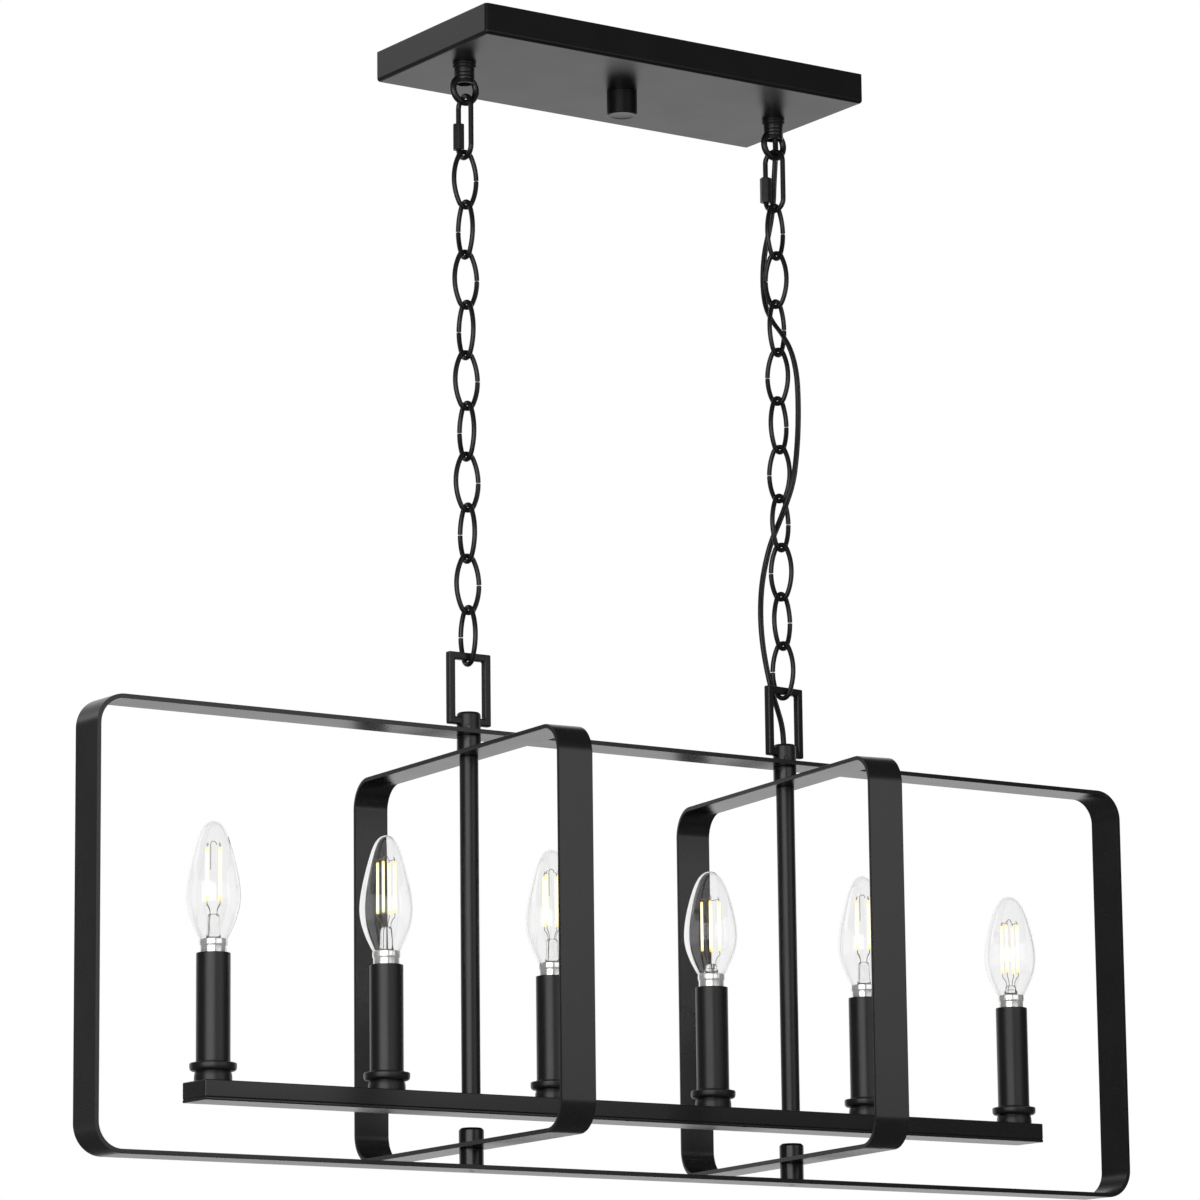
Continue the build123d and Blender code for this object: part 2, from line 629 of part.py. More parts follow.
def make_filament():
    """Glass mount with four filament sticks between two crosses of lead wire."""
    foot = skirt_top_z - GLASS_NECK_DEPTH
    low = skirt_top_z + FILAMENT_STAND
    high = low + FILAMENT_LENGTH
    mount_height = low + LEAD_SIDE - foot
    body = Pos(0, 0, foot + mount_height / 2) * Box(MOUNT_SIDE, MOUNT_SIDE, mount_height)
    stick = Box(FILAMENT_SIDE, FILAMENT_SIDE, FILAMENT_LENGTH)
    arm = Box(FILAMENT_CIRCLE, LEAD_SIDE, LEAD_SIDE)
    for turn in (0, 90):
        for z in (low + LEAD_SIDE / 2, high - LEAD_SIDE / 2):
            body += Pos(0, 0, z) * Rot(0, 0, turn) * arm
    for turn in (0, 90, 180, 270):
        body += Rot(0, 0, turn) * Pos(FILAMENT_CIRCLE / 2, 0, (low + high) / 2) * stick
    return Rot(0, 0, 45) * body


# ---------------------------------------------------------------- cords


def corner_radii(points):
    """Arc radius at each inner point: a share of its shorter run over half its turn's tangent."""
    radii = []
    for before, at, after in zip(points, points[1:], points[2:]):
        run_in = Vector(*at) - Vector(*before)
        run_out = Vector(*after) - Vector(*at)
        half_turn = math.radians(run_in.get_angle(run_out)) / 2
        shorter = min(run_in.length, run_out.length)
        radii.append(ARC_SHARE * shorter / math.tan(half_turn))
    return radii


def make_cord(name, diameter, offset_xy, sides):
    """A cord along the route, shifted sideways, as runs joined by tangent arcs."""
    shift_x = SIDES["right"] + offset_xy[0]
    points = [(x + shift_x, y + offset_xy[1], z) for x, y, z in CORD_ROUTE]
    radii = corner_radii(points)
    path = FilletPolyline(*points, radius=radii)
    section = Plane(origin=path @ 0, z_dir=path % 0) * RegularPolygon(diameter / 2, sides)
    cord = sweep(section, path=path)
    print(name, "radii", [round(r, 1) for r in radii], "least", round(min(radii), 1))
    print(name, "length", round(path.length, 1), "volume", round(cord.volume, 1))
    print(name, "section times length", round(section.area * path.length, 1))
    return cord


# ---------------------------------------------------------------- build


def nut(across_flats, thread, low, high, sides=SMALL_SIDES):
    """A hexagonal nut with a plain hole that clears its thread."""
    hole = cylinder(thread + 2 * THREAD_GAP, low, high, sides=sides)
    return hexagon(across_flats, low, high) - hole


def nipple(low, high):
    """A length of the hollow threaded nipple."""
    return tube(NIPPLE_DIAMETER, NIPPLE_BORE, low, high, SMALL_SIDES)


def build():
    """Every node's solid or group of solids, by name."""
    nipple_hole = NIPPLE_DIAMETER + 2 * THREAD_GAP
    screw_hole = SCREW_DIAMETER + 2 * THREAD_GAP
    shank_hole = SHANK_DIAMETER + 2 * THREAD_GAP
    washer_top = canopy_floor + WASHER_THICKNESS
    crossbar_base = -CROSSBAR_THICKNESS
    collar_nipple_top = frame_top_z + COLLAR_HEIGHT - NIPPLE_SHORT
    screw_top = lower_cross_z + STRAP + CAP_HEIGHT - CAP_FLOOR - SLIP_GAP
    bar_nut = nut(NUT_ACROSS_FLATS, NIPPLE_DIAMETER, bar_inner_top_z - NUT_HEIGHT, bar_inner_top_z)
    loop_nut_top = washer_top + LOCKNUT_HEIGHT
    loop_nut = nut(LOCKNUT_ACROSS_FLATS, SHANK_DIAMETER, washer_top, loop_nut_top, ROUND_SIDES)
    upper_spacer = tube(SPACER_DIAMETER, nipple_hole, upper_cross_top_z, frame_top_z - STRAP)
    lower_spacer = tube(SPACER_DIAMETER, screw_hole, frame_base_z + STRAP, lower_cross_z)
    lower_nipple = nipple(bar_nipple_foot_z, bar_top_z + NIPPLE_ENGAGEMENT)
    candle_nipple = nipple(bar_nipple_foot_z, socket_base_z + NIPPLE_IN_SOCKET)
    nodes = {
        "canopy": make_canopy(),
        "crossbar": make_crossbar(),
        "crossbar_nipple": nipple(canopy_nipple_low, 0),
        "crossbar_locknut": nut(
            NUT_ACROSS_FLATS, NIPPLE_DIAMETER, crossbar_base - NUT_HEIGHT, crossbar_base
        ),
        "ground_screw": make_ground_screw(),
        "cap_nut": make_cap_nut(),
        "loop_washers": at_both(tube(WASHER_DIAMETER, shank_hole, canopy_floor, washer_top)),
        "loop_locknuts": at_both(loop_nut),
        "stem_upper_nipples": at_both(nipple(stem_top_z - NIPPLE_ENGAGEMENT, collar_nipple_top)),
        "stem_lower_nipples": at_both(lower_nipple),
        "long_frame": make_long_frame(),
        "upper_spacers": at_both(upper_spacer),
        "lower_spacers": at_both(lower_spacer),
        "lower_caps": at_both(make_lower_cap()),
        "lower_screws": at_both(countersunk(0, screw_top)),
        "candle_bar": make_candle_bar(),
        "bar_cover": make_bar_cover(),
        "bar_locknuts": at_each([*SIDES.values(), *CANDLE_XS], bar_nut),
        "candle_nipples": at_each(CANDLE_XS, candle_nipple),
        "candle_cups": at_each(CANDLE_XS, make_cup()),
        "candle_sleeves": at_each(CANDLE_XS, make_sleeve()),
        "lamp_sockets": at_each(CANDLE_XS, make_socket()),
        "bulb_bases": at_each(CANDLE_XS, make_bulb_base()),
        "bulb_glass": at_each(CANDLE_XS, make_bulb_glass()),
        "bulb_filaments": at_each(CANDLE_XS, make_filament()),
        "power_cord": make_cord("power_cord", CORD_DIAMETER, (0, 0), WIRE_SIDES),
        "ground_wire": make_cord("ground_wire", GROUND_WIRE_DIAMETER, GROUND_OFFSET, GROUND_SIDES),
    }
    for side in SIDES:
        nodes[f"canopy_loop_{side}"] = make_canopy_loop(side)
        nodes[f"quick_link_{side}"] = make_quick_link(side)
        nodes[f"sleeve_nut_{side}"] = make_sleeve_nut(side)
        nodes[f"chain_{side}"] = make_chain(side)
        nodes[f"end_link_{side}"] = make_link(LINK_COUNT - 1, side)
        nodes[f"hanging_loop_{side}"] = make_hanging_loop(side)
        nodes[f"grub_screw_{side}"] = make_grub(side)
        nodes[f"stem_{side}"] = Pos(SIDES[side], 0, 0) * tube(
            STEM_DIAMETER, STEM_BORE, bar_top_z, stem_top_z
        )
        nodes[f"cross_frame_{side}"] = make_cross_frame(side)
    return nodes


os.makedirs("parts", exist_ok=True)
for name, solid in build().items():
    export_step(solid, f"parts/{name}.step")
print("frame underside", round(frame_base_z, 2), "first link", round(first_link_z, 2))
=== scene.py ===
import logging
import math
from dataclasses import dataclass
from enum import Enum
from typing import Any, Sequence

import bpy
from mathutils import Matrix, Vector


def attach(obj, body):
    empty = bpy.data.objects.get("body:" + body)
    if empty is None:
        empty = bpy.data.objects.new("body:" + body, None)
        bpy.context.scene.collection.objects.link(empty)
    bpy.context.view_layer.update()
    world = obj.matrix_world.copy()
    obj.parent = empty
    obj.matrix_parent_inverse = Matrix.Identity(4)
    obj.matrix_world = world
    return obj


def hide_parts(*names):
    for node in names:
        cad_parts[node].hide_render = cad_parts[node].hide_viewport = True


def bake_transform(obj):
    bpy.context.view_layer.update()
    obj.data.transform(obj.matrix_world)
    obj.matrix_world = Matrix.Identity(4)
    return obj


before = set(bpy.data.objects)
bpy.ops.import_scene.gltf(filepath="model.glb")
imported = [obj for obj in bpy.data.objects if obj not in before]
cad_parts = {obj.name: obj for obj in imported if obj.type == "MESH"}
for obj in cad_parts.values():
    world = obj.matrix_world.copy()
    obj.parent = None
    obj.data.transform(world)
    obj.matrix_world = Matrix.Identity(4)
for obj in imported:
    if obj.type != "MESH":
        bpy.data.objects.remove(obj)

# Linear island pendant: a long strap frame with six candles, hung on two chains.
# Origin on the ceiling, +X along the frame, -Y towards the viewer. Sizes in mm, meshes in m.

log = logging.getLogger("pendant")

MM = 0.001
MERGE_M = 2e-6  # points nearer than this are one
SQUARE_ON = 0.9  # least share of a normal along an axis, for a face that looks that way
SMOOTH_DEGREES = 38.0  # edges flatter than this are shaded smooth
NOISE_LOW, NOISE_HIGH = 0.3, 0.7  # most of a noise's values lie between these
Point = tuple[float, float, float]
Profile = list[tuple[float, float]]
Piece = bpy.types.Object

CANOPY_BASE = -21.0
RING_CENTRE = -39.05
QUICK_CENTRE = -65.15
FIRST_LINK = -102.0
LINK_PITCH = 34.8
LOOP_TOP = -427.05
FRAME_TOP = -479.85
FRAME_BASE = -769.85
CROSS_TOP = -493.85
CROSS_BASE = -755.35
BAR_TOP = -720.65
BAR_BASE = -733.65
CUP_TOP = BAR_TOP + 11.8
SLEEVE_TOP = CUP_TOP + 70.1
SKIRT_TOP = SLEEVE_TOP + 8.8
STRAP = 3.0
NIPPLE_BORE = 4.9
SCREW_BORE = 3.15
CANDLE_XS = (-325.0, -195.0, -65.0, 65.0, 195.0, 325.0)


class Body(Enum):
    """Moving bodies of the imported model."""

    CEILING = "ceiling_mount"
    QUICK = "quick_links"
    CHAIN_LEFT = "upper_chain_left"
    CHAIN_RIGHT = "upper_chain_right"
    LINK_LEFT = "lower_link_left"
    LINK_RIGHT = "lower_link_right"
    FIXTURE = "fixture"
    CROSS_LEFT = "cross_left"
    CROSS_RIGHT = "cross_right"


class Slot(Enum):
    """Material slots of the record."""

    STEEL = "black_steel"
    SLEEVE = "candle_black"
    NICKEL = "nickel"
    RESIN = "socket_resin"
    GLASS = "clear_glass"
    FILAMENT = "filament"
    CORD = "black_cord"
    GROUND = "ground_sheath"


@dataclass(frozen=True)
class Side:
    """One of the two suspensions, with the turns its pieces hang at, in degrees."""

    name: str
    x: float
    chain_body: Body
    link_body: Body
    cross_body: Body
    ring_turn: float
    link_turns: tuple[float, ...]
    loop_turn: float
    cross_turn: float


SIDES = (
    Side("left", -130.0, Body.CHAIN_LEFT, Body.LINK_LEFT, Body.CROSS_LEFT,
         0.0, (0.0,) * 11, 0.0, -4.5),
    Side("right", 130.0, Body.CHAIN_RIGHT, Body.LINK_RIGHT, Body.CROSS_RIGHT,
         6.0, (16.0, 16.0, 19.0, 19.0, 17.0, 16.0, 16.0, 15.0, 16.0, 16.0, 16.0), 8.0, -8.5),
)


# ---------------------------------------------------------------- nodes and finishes


def linear(colour: str) -> tuple[float, float, float, float]:
    """Turn an sRGB hex colour into a linear one.

    Args:
        colour: six hex digits after a hash sign.

    Returns:
        Red, green, blue and alpha, linear.
    """
    parts = [int(colour[i:i + 2], 16) / 255 for i in (1, 3, 5)]
    red, green, blue = [c / 12.92 if c <= 0.04045 else ((c + 0.055) / 1.055) ** 2.4 for c in parts]
    return red, green, blue, 1.0


def add_node(tree: Any, kind: str, inputs: dict | None = None, **settings: Any) -> Any:
    """Add a shader node, set its properties and fill its sockets.

    Args:
        tree: node tree that gets the node.
        kind: the node's type name, without its ShaderNode.
        inputs: value or output socket for each input, by name or number.
        settings: properties of the node.

    Returns:
        The node.
    """
    node = tree.nodes.new("ShaderNode" + kind)
    for key, value in settings.items():
        setattr(node, key, value)
    for key, value in (inputs or {}).items():
        if isinstance(value, bpy.types.NodeSocket):
            tree.links.new(value, node.inputs[key])
        else:
            node.inputs[key].default_value = value
    return node


def bare_tree(owner: Any) -> Any:
    """Give a material or world an empty node tree.

    Args:
        owner: the material or world.

    Returns:
        Its node tree.
    """
    owner.use_nodes = True
    owner.node_tree.nodes.clear()
    return owner.node_tree


@dataclass(frozen=True)
class Finish:
    """A surface finish, made a material once."""

    name: str

    def material(self) -> Any:
        """Make the finish's material at the first call, and find it at later ones.

        Returns:
            The material.
        """
        found = bpy.data.materials.get(self.name)
        if found:
            return found
        made = bpy.data.materials.new(self.name)
        tree = bare_tree(made)
        add_node(tree, "OutputMaterial", {"Surface": self.shader(tree).outputs[0]})
        return made

    def shader(self, tree: Any) -> Any:
        """Build the shader. Each finish has its own."""
        raise NotImplementedError

    def grain(self, tree: Any, size_mm: float, detail: float = 2.0) -> Any:
        """Noise whose grains are about size_mm across.

        Args:
            tree: node tree that gets the noise.
            size_mm: width of a grain.
            detail: number of finer layers.

        Returns:
            The noise's value socket.
        """
        spot = add_node(tree, "TexCoord").outputs["Object"]
        noise = add_node(tree, "TexNoise",
                         {"Vector": spot, "Scale": 1 / (size_mm * MM), "Detail": detail})
        return noise.outputs["Fac"]


@dataclass(frozen=True)
class PaintedSteel(Finish):
    """Powder-coated or sprayed steel: a dark film with a faint orange peel and soft gloss."""

    colour: str = "#121213"
    paler: str = "#1b1b1c"
    gloss_low: float = 0.268
    gloss_high: float = 0.282
    peel_mm: float = 1.6
    peel_depth_mm: float = 0.0015
    ior: float = 1.55
    cloud_mm: float = 30.0
    peel_strength: float = 0.15

    def shader(self, tree: Any) -> Any:
        """Paint with clouded tone, varied gloss and orange peel.

        Args:
            tree: node tree that gets the nodes.

        Returns:
            The shader node.
        """
        cloud = self.grain(tree, self.cloud_mm)
        peel = self.grain(tree, self.peel_mm, 1.0)
        tone = add_node(tree, "Mix",
                        {0: cloud, 6: linear(self.colour), 7: linear(self.paler)}, data_type="RGBA")
        gloss = add_node(tree, "MapRange", {0: cloud, 1: NOISE_LOW, 2: NOISE_HIGH,
                                            3: self.gloss_low, 4: self.gloss_high})
        bump = add_node(tree, "Bump", {"Height": peel, "Strength": self.peel_strength,
                                       "Distance": self.peel_depth_mm * MM})
        return add_node(tree, "BsdfPrincipled", {
            "Base Color": tone.outputs[2],
            "Roughness": gloss.outputs[0],
            "IOR": self.ior, "Normal": bump.outputs[0]})


@dataclass(frozen=True)
class PlatedMetal(Finish):
    """Bright plating: a mirror-like metal film with fine rolling marks."""

    colour: str = "#c9c7c2"
    gloss_low: float = 0.14
    gloss_high: float = 0.26
    mark_mm: float = 0.5
    metallic: float = 1.0
    mark_strength: float = 0.2
    mark_depth_mm: float = 0.01

    def shader(self, tree: Any) -> Any:
        """Metal whose gloss and surface vary with fine marks.

        Args:
            tree: node tree that gets the nodes.

        Returns:
            The shader node.
        """
        marks = self.grain(tree, self.mark_mm)
        gloss = add_node(tree, "MapRange", {0: marks, 1: NOISE_LOW, 2: NOISE_HIGH,
                                            3: self.gloss_low, 4: self.gloss_high})
        bump = add_node(tree, "Bump", {"Height": marks, "Strength": self.mark_strength,
                                       "Distance": self.mark_depth_mm * MM})
        return add_node(tree, "BsdfPrincipled", {
            "Base Color": linear(self.colour), "Metallic": self.metallic,
            "Roughness": gloss.outputs[0], "Normal": bump.outputs[0]})


@dataclass(frozen=True)
class BlownGlass(Finish):
    """Clear blown soda-lime glass: nearly invisible face on, with a thin dark outline."""

    tint: str = "#fefefe"
    thicker_tint: str = "#fcfcfc"
    drift_mm: float = 25.0
    ior: float = 1.5

    def shader(self, tree: Any) -> Any:
        """Transmitting glass whose faint tint drifts with its thickness.

        Args:
            tree: node tree that gets the nodes.

        Returns:
            The shader node.
        """
        tone = add_node(tree, "Mix", {
            0: self.grain(tree, self.drift_mm, 0.0), 6: linear(self.tint),
            7: linear(self.thicker_tint)}, data_type="RGBA")
        return add_node(tree, "BsdfPrincipled", {
            "Base Color": tone.outputs[2], "Roughness": 0.0, "IOR": self.ior,
            "Transmission Weight": 1.0})


@dataclass(frozen=True)
class LitPhosphor(Finish):
    """A lit filament stick: phosphor that glows warm white, and yellow at its cooler ends."""

    low_mm: float = 0.0
    high_mm: float = 38.0
    power: float = 1.5
    grain_mm: float = 0.8
    # The glow is even up to the first share of the half length, and fully yellow at the second
    turns_at: float = 0.8
    yellow_at: float = 0.97

    def shader(self, tree: Any) -> Any:
        """Emission that turns yellow and weaker towards both ends.

        Args:
            tree: node tree that gets the nodes.

        Returns:
            The shader node.
        """
        spot = add_node(tree, "TexCoord").outputs["Object"]
        height = add_node(tree, "SeparateXYZ", {0: spot}).outputs[2]
        along = add_node(tree, "MapRange", {
            0: height, 1: self.low_mm * MM, 2: self.high_mm * MM, 3: -1.0, 4: 1.0})
        end = add_node(tree, "Math", {0: along.outputs[0]}, operation="ABSOLUTE")
        mixed = add_node(tree, "Math", {0: end.outputs[0], 1: self.grain(tree, self.grain_mm)},
                         operation="MAXIMUM")
        ramp = add_node(tree, "ValToRGB", {0: mixed.outputs[0]})
        for stop, position, colour in zip(ramp.color_ramp.elements,
                                          (self.turns_at, self.yellow_at), ("#fff2cc", "#ffd97a")):
            stop.position, stop.color = position, linear(colour)
        # So small a lamp only makes grain in what it lights, so it glows where it is looked at
        path = add_node(tree, "LightPath")
        bounced = add_node(tree, "Math", {
            0: path.outputs["Diffuse Depth"], 1: path.outputs["Glossy Depth"]})
        direct = add_node(tree, "Math", {0: bounced.outputs[0], 1: 0.5}, operation="LESS_THAN")
        glow = add_node(tree, "Math", {0: direct.outputs[0], 1: self.power},
                        operation="MULTIPLY")
        return add_node(tree, "BsdfPrincipled", {
            "Base Color": linear("#e8d08a"), "Roughness": 0.5,
            "Emission Color": ramp.outputs[0], "Emission Strength": glow.outputs[0]})


@dataclass(frozen=True)
class Moulded(Finish):
    """Moulded resin or extruded jacket: dark, with a waxy gloss and a fine skin."""

    colour: str = "#141414"
    roughness: float = 0.45
    skin_mm: float = 0.6
    unevenness: float = 0.2
    skin_strength: float = 0.25
    skin_depth_mm: float = 0.02

    def shader(self, tree: Any) -> Any:
        """Plastic with a fine skin and slightly uneven tone.

        Args:
            tree: node tree that gets the nodes.

        Returns:
            The shader node.
        """
        skin = self.grain(tree, self.skin_mm)
        value = add_node(tree, "MapRange", {0: skin, 1: NOISE_LOW, 2: NOISE_HIGH,
                                            3: 1 - self.unevenness, 4: 1 + self.unevenness})
        tone = add_node(tree, "HueSaturation", {
            "Color": linear(self.colour), "Value": value.outputs[0]})
        bump = add_node(tree, "Bump", {"Height": skin, "Strength": self.skin_strength,
                                       "Distance": self.skin_depth_mm * MM})
        return add_node(tree, "BsdfPrincipled", {
            "Base Color": tone.outputs[0], "Roughness": self.roughness,
            "Normal": bump.outputs[0]})


FRAME_COAT = PaintedSteel("black_powder_coated_steel")
WIRE_COAT = PaintedSteel("black_coated_chain_steel", "#0f0f10", "#141415", 0.33, 0.37, 2.0, 0.003)
NUT_COAT = PaintedSteel("black_oxide_sleeve_nut", "#1b1b1c", "#222223", 0.3, 0.36, 2.0, 0.003)
CANOPY_COAT = PaintedSteel("black_powder_coated_canopy", "#0d0d0e", "#121213", 0.32, 0.34, 1.5,
                           ior=1.41)
SLEEVE_COAT = PaintedSteel("satin_black_painted_sleeve", "#131314", "#19191a", 0.36, 0.39, 0.9)
GREEN_PAINT = PaintedSteel("green_earth_screw_paint", "#2c6b3a", "#347a44", 0.4, 0.5)
ZINC_PLATE = PlatedMetal("zinc_plated_steel", "#a9abac", 0.3, 0.45)
# Not all metal: a part of its white is plain colour, a painted reflection that stands in for the
# bright surroundings which the dim gloss of this studio lacks
NICKEL_WITH_PAINTED_REFLECTION = PlatedMetal("bright_nickel_plated_brass", "#fbfaf8", 0.16, 0.24, metallic=0.7)
LEAD_METAL = PlatedMetal("drawn_nickel_lead_wire", "#8a7f72", 0.25, 0.4, 0.3)
CLEAR_GLASS = BlownGlass("clear_blown_glass")
SOCKET_RESIN = Moulded("black_phenolic_resin", "#121212", 0.5)
CORD_JACKET = Moulded("black_pvc_cord_jacket", "#131314", 0.38)
GROUND_JACKET = Moulded("dark_ground_wire_sheath", "#1a1715", 0.35, 0.3)


# ---------------------------------------------------------------- modelling by hand


def settle() -> None:
    """Return to object mode with nothing selected."""
    active = bpy.context.view_layer.objects.active
    if active and active.mode != "OBJECT":
        bpy.ops.object.mode_set(mode="OBJECT")
    bpy.ops.object.select_all(action="DESELECT")


def take_up(piece: Piece) -> Piece:
    """Make a piece the only selected and active one.

    Args:
        piece: the piece.

    Returns:
        The piece.
    """
    settle()
    piece.select_set(True)
    bpy.context.view_layer.objects.active = piece
    return piece


def begin(name: str) -> Piece:
    """Name the primitive just added and move its place into its mesh.

    Args:
        name: the piece's name.

    Returns:
        The piece, with its object at the origin.
    """
    piece = bpy.context.object
    piece.name = piece.data.name = name
    bpy.ops.object.transform_apply(location=True, rotation=True, scale=True)
    return piece


def edit(mode: str = "VERT") -> None:
    """Go to edit mode with everything selected.

    Args:
        mode: selection mode, VERT, EDGE or FACE.
    """
    bpy.ops.object.mode_set(mode="EDIT")
    bpy.ops.mesh.select_mode(type=mode)
    bpy.ops.mesh.select_all(action="SELECT")


def close_up() -> None:
    """Merge doubles, point faces outwards and leave edit mode."""
    bpy.ops.mesh.select_all(action="SELECT")
    bpy.ops.mesh.remove_doubles(threshold=MERGE_M)
    bpy.ops.mesh.normals_make_consistent(inside=False)
    bpy.ops.object.mode_set(mode="OBJECT")


def pick_faces(piece: Piece, test: Any) -> None:
    """Select only the faces whose normal and centre pass a test, and stay in edit mode.

    Args:
        piece: the piece in edit mode.
        test: function of a face's normal and centre.
    """
    bpy.ops.mesh.select_mode(type="FACE")
    bpy.ops.mesh.select_all(action="DESELECT")
    bpy.ops.object.mode_set(mode="OBJECT")
    for face in piece.data.polygons:
        face.select = bool(test(face.normal, face.center))
    bpy.ops.object.mode_set(mode="EDIT")


def pick_edges(piece: Piece, test: Any) -> None:
    """Select only the edges whose two ends pass a test, and stay in edit mode.

    Args:
        piece: the piece in edit mode.
        test: function of an edge's two end points.
    """
    bpy.ops.mesh.select_mode(type="EDGE")
    bpy.ops.mesh.select_all(action="DESELECT")
    bpy.ops.object.mode_set(mode="OBJECT")
    points = piece.data.vertices
    for edge in piece.data.edges:
        a, b = edge.vertices
        edge.select = bool(test(points[a].co, points[b].co))
    bpy.ops.object.mode_set(mode="EDIT")


def finish_with(piece: Piece, kind: str, **settings: Any) -> None:
    """Add a modifier with its settings and apply it.

    Args:
        piece: the piece that gets the modifier.
        kind: the modifier's type.
        settings: its properties.
    """
    take_up(piece)
    modifier = piece.modifiers.new(kind.lower(), kind)
    for key, value in settings.items():
        setattr(modifier, key, value)
    bpy.ops.object.modifier_apply(modifier=modifier.name)


def thicken(piece: Piece, sheet: float) -> None:
    """Give a bare surface the thickness of its sheet in mm, inwards."""
    finish_with(piece, "SOLIDIFY", thickness=sheet * MM, offset=-1.0, use_even_offset=True)


def soften(piece: Piece, width: float, segments: int = 2, sharp: float = 40.0) -> Piece:
    """Round a piece's sharp edges and shade it.

    Args:
        piece: the piece.
        width: width of the rounding in mm, or 0 for none.
        segments: steps across the rounding.
        sharp: least angle of an edge that counts as sharp.

    Returns:
        The piece.
    """
    if width:
        finish_with(piece, "BEVEL", width=width * MM, segments=segments, limit_method="ANGLE",
                    angle_limit=math.radians(sharp), use_clamp_overlap=True)
    take_up(piece)
    bpy.ops.object.shade_smooth_by_angle(angle=math.radians(SMOOTH_DEGREES))
    finish_with(piece, "WEIGHTED_NORMAL", keep_sharp=True, weight=100)
    return piece


def lathe(name: str, profile: Profile, steps: int = 64) -> Piece:
    """Turn an outline about the upright axis.

    Args:
        name: the piece's name.
        profile: outline of (radius, height) points in mm, closed or ending on the axis.
        steps: number of steps round.

    Returns:
        The turned piece.
    """
    settle()
    radius, height = profile[0]
    bpy.ops.mesh.primitive_plane_add(size=MM, location=(radius * MM, 0, height * MM))
    piece = begin(name)
    edit()
    bpy.ops.mesh.merge(type="CENTER")
    for (r0, z0), (r1, z1) in zip(profile, profile[1:]):
        step = ((r1 - r0) * MM, 0, (z1 - z0) * MM)
        bpy.ops.mesh.extrude_region_move(TRANSFORM_OT_translate={"value": step})
    bpy.ops.mesh.select_all(action="SELECT")
    bpy.ops.mesh.spin(steps=steps, angle=2 * math.pi, center=(0, 0, 0), axis=(0, 0, 1))
    close_up()
    return piece


def ring_profile(outer: float, inner: float, low: float, high: float) -> Profile:
    """Closed outline of a plain tube between two heights."""
    return [(inner, low), (outer, low), (outer, high), (inner, high), (inner, low)]


def bar_block(name: str, size: Point, centre: Point) -> Piece:
    """Add a block, as the start of a piece.

    Args:
        name: the piece's name.
        size: its size along X, Y and Z in mm.
        centre: its middle in mm.

    Returns:
        The block.
    """
    settle()
    bpy.ops.mesh.primitive_cube_add(size=1, location=[c * MM for c in centre])
    bpy.context.object.scale = [s * MM for s in size]
    return begin(name)


def round_cutter(radius: float, low: float, high: float, x: float = 0.0, steps: int = 40) -> Piece:
    """A round cutter for an upright hole between two heights."""
    return place(lathe("hole", ring_profile(radius, 0.0, low, high), steps), x)


def drill(piece: Piece, cutter: Piece) -> None:
    """Cut a cutter's form out of a piece and remove the cutter."""
    finish_with(piece, "BOOLEAN", object=cutter, operation="DIFFERENCE", solver="EXACT")
    bpy.data.objects.remove(cutter)


def drawn_mesh(name: str, points: Sequence[Sequence[float]], radius: float = 0.0,
               rounding: int = 0, smooth: bool = False) -> Any:
    """Draw a line through points, with a round wire about it, and read it back as a mesh.

    Args:
        name: the line's name.
        points: its points in metres.
        radius: radius of the wire in mm, or 0 for the bare line.
        rounding: steps in a quarter of the wire's round.
        smooth: True for a NURBS line with the points as its control points.

    Returns:
        The mesh.
    """
    curve = bpy.data.curves.new(name, "CURVE")
    curve.dimensions = "3D"
    curve.resolution_u = 10
    curve.bevel_depth, curve.bevel_resolution = radius * MM, rounding
    curve.use_fill_caps = radius > 0
    spline = curve.splines.new("NURBS" if smooth else "POLY")
    spline.points.add(len(points) - 1)
    for point, spot in zip(spline.points, points):
        point.co = (*spot, 1)
    if smooth:
        spline.order_u = 3
        spline.use_endpoint_u = True
    drawn = bpy.data.objects.new(name, curve)
    bpy.context.scene.collection.objects.link(drawn)
    bpy.context.view_layer.update()
    mesh = bpy.data.meshes.new_from_object(drawn)
    bpy.data.objects.remove(drawn)
    return mesh


def piece_of(name: str, mesh: Any) -> Piece:
    """Put a mesh in the scene as a piece.

    Args:
        name: the piece's name.
        mesh: its mesh.

    Returns:
        The piece.
    """
    mesh.name = name
    piece = bpy.data.objects.new(name, mesh)
    bpy.context.scene.collection.objects.link(piece)
    return piece


def copy_of(piece: Piece, name: str) -> Piece:
    """Copy a piece together with its mesh."""
    return piece_of(name, piece.data.copy())


def place(piece: Piece, x: float = 0.0, turn: float = 0.0, y: float = 0.0, z: float = 0.0) -> Piece:
    """Turn a piece about the upright axis, move it, and keep its object at the origin.

    Args:
        piece: the piece.
        x, y, z: the move in mm.
        turn: the turn in degrees, counter-clockwise from above.

    Returns:
        The piece.
    """
    take_up(piece)
    piece.rotation_euler = (0, 0, math.radians(turn))
    piece.location = (x * MM, y * MM, z * MM)
    bpy.ops.object.transform_apply(location=True, rotation=True, scale=True)
    return piece


def joined(name: str, pieces: Sequence[Piece]) -> Piece:
    """Join several meshes into one piece.

    Args:
        name: the piece's name.
        pieces: the meshes, which end as one.

    Returns:
        The joined piece.
    """
    first = take_up(pieces[0])
    for piece in pieces:
        piece.select_set(True)
    bpy.ops.object.join()
    first.name = first.data.name = name
    return first


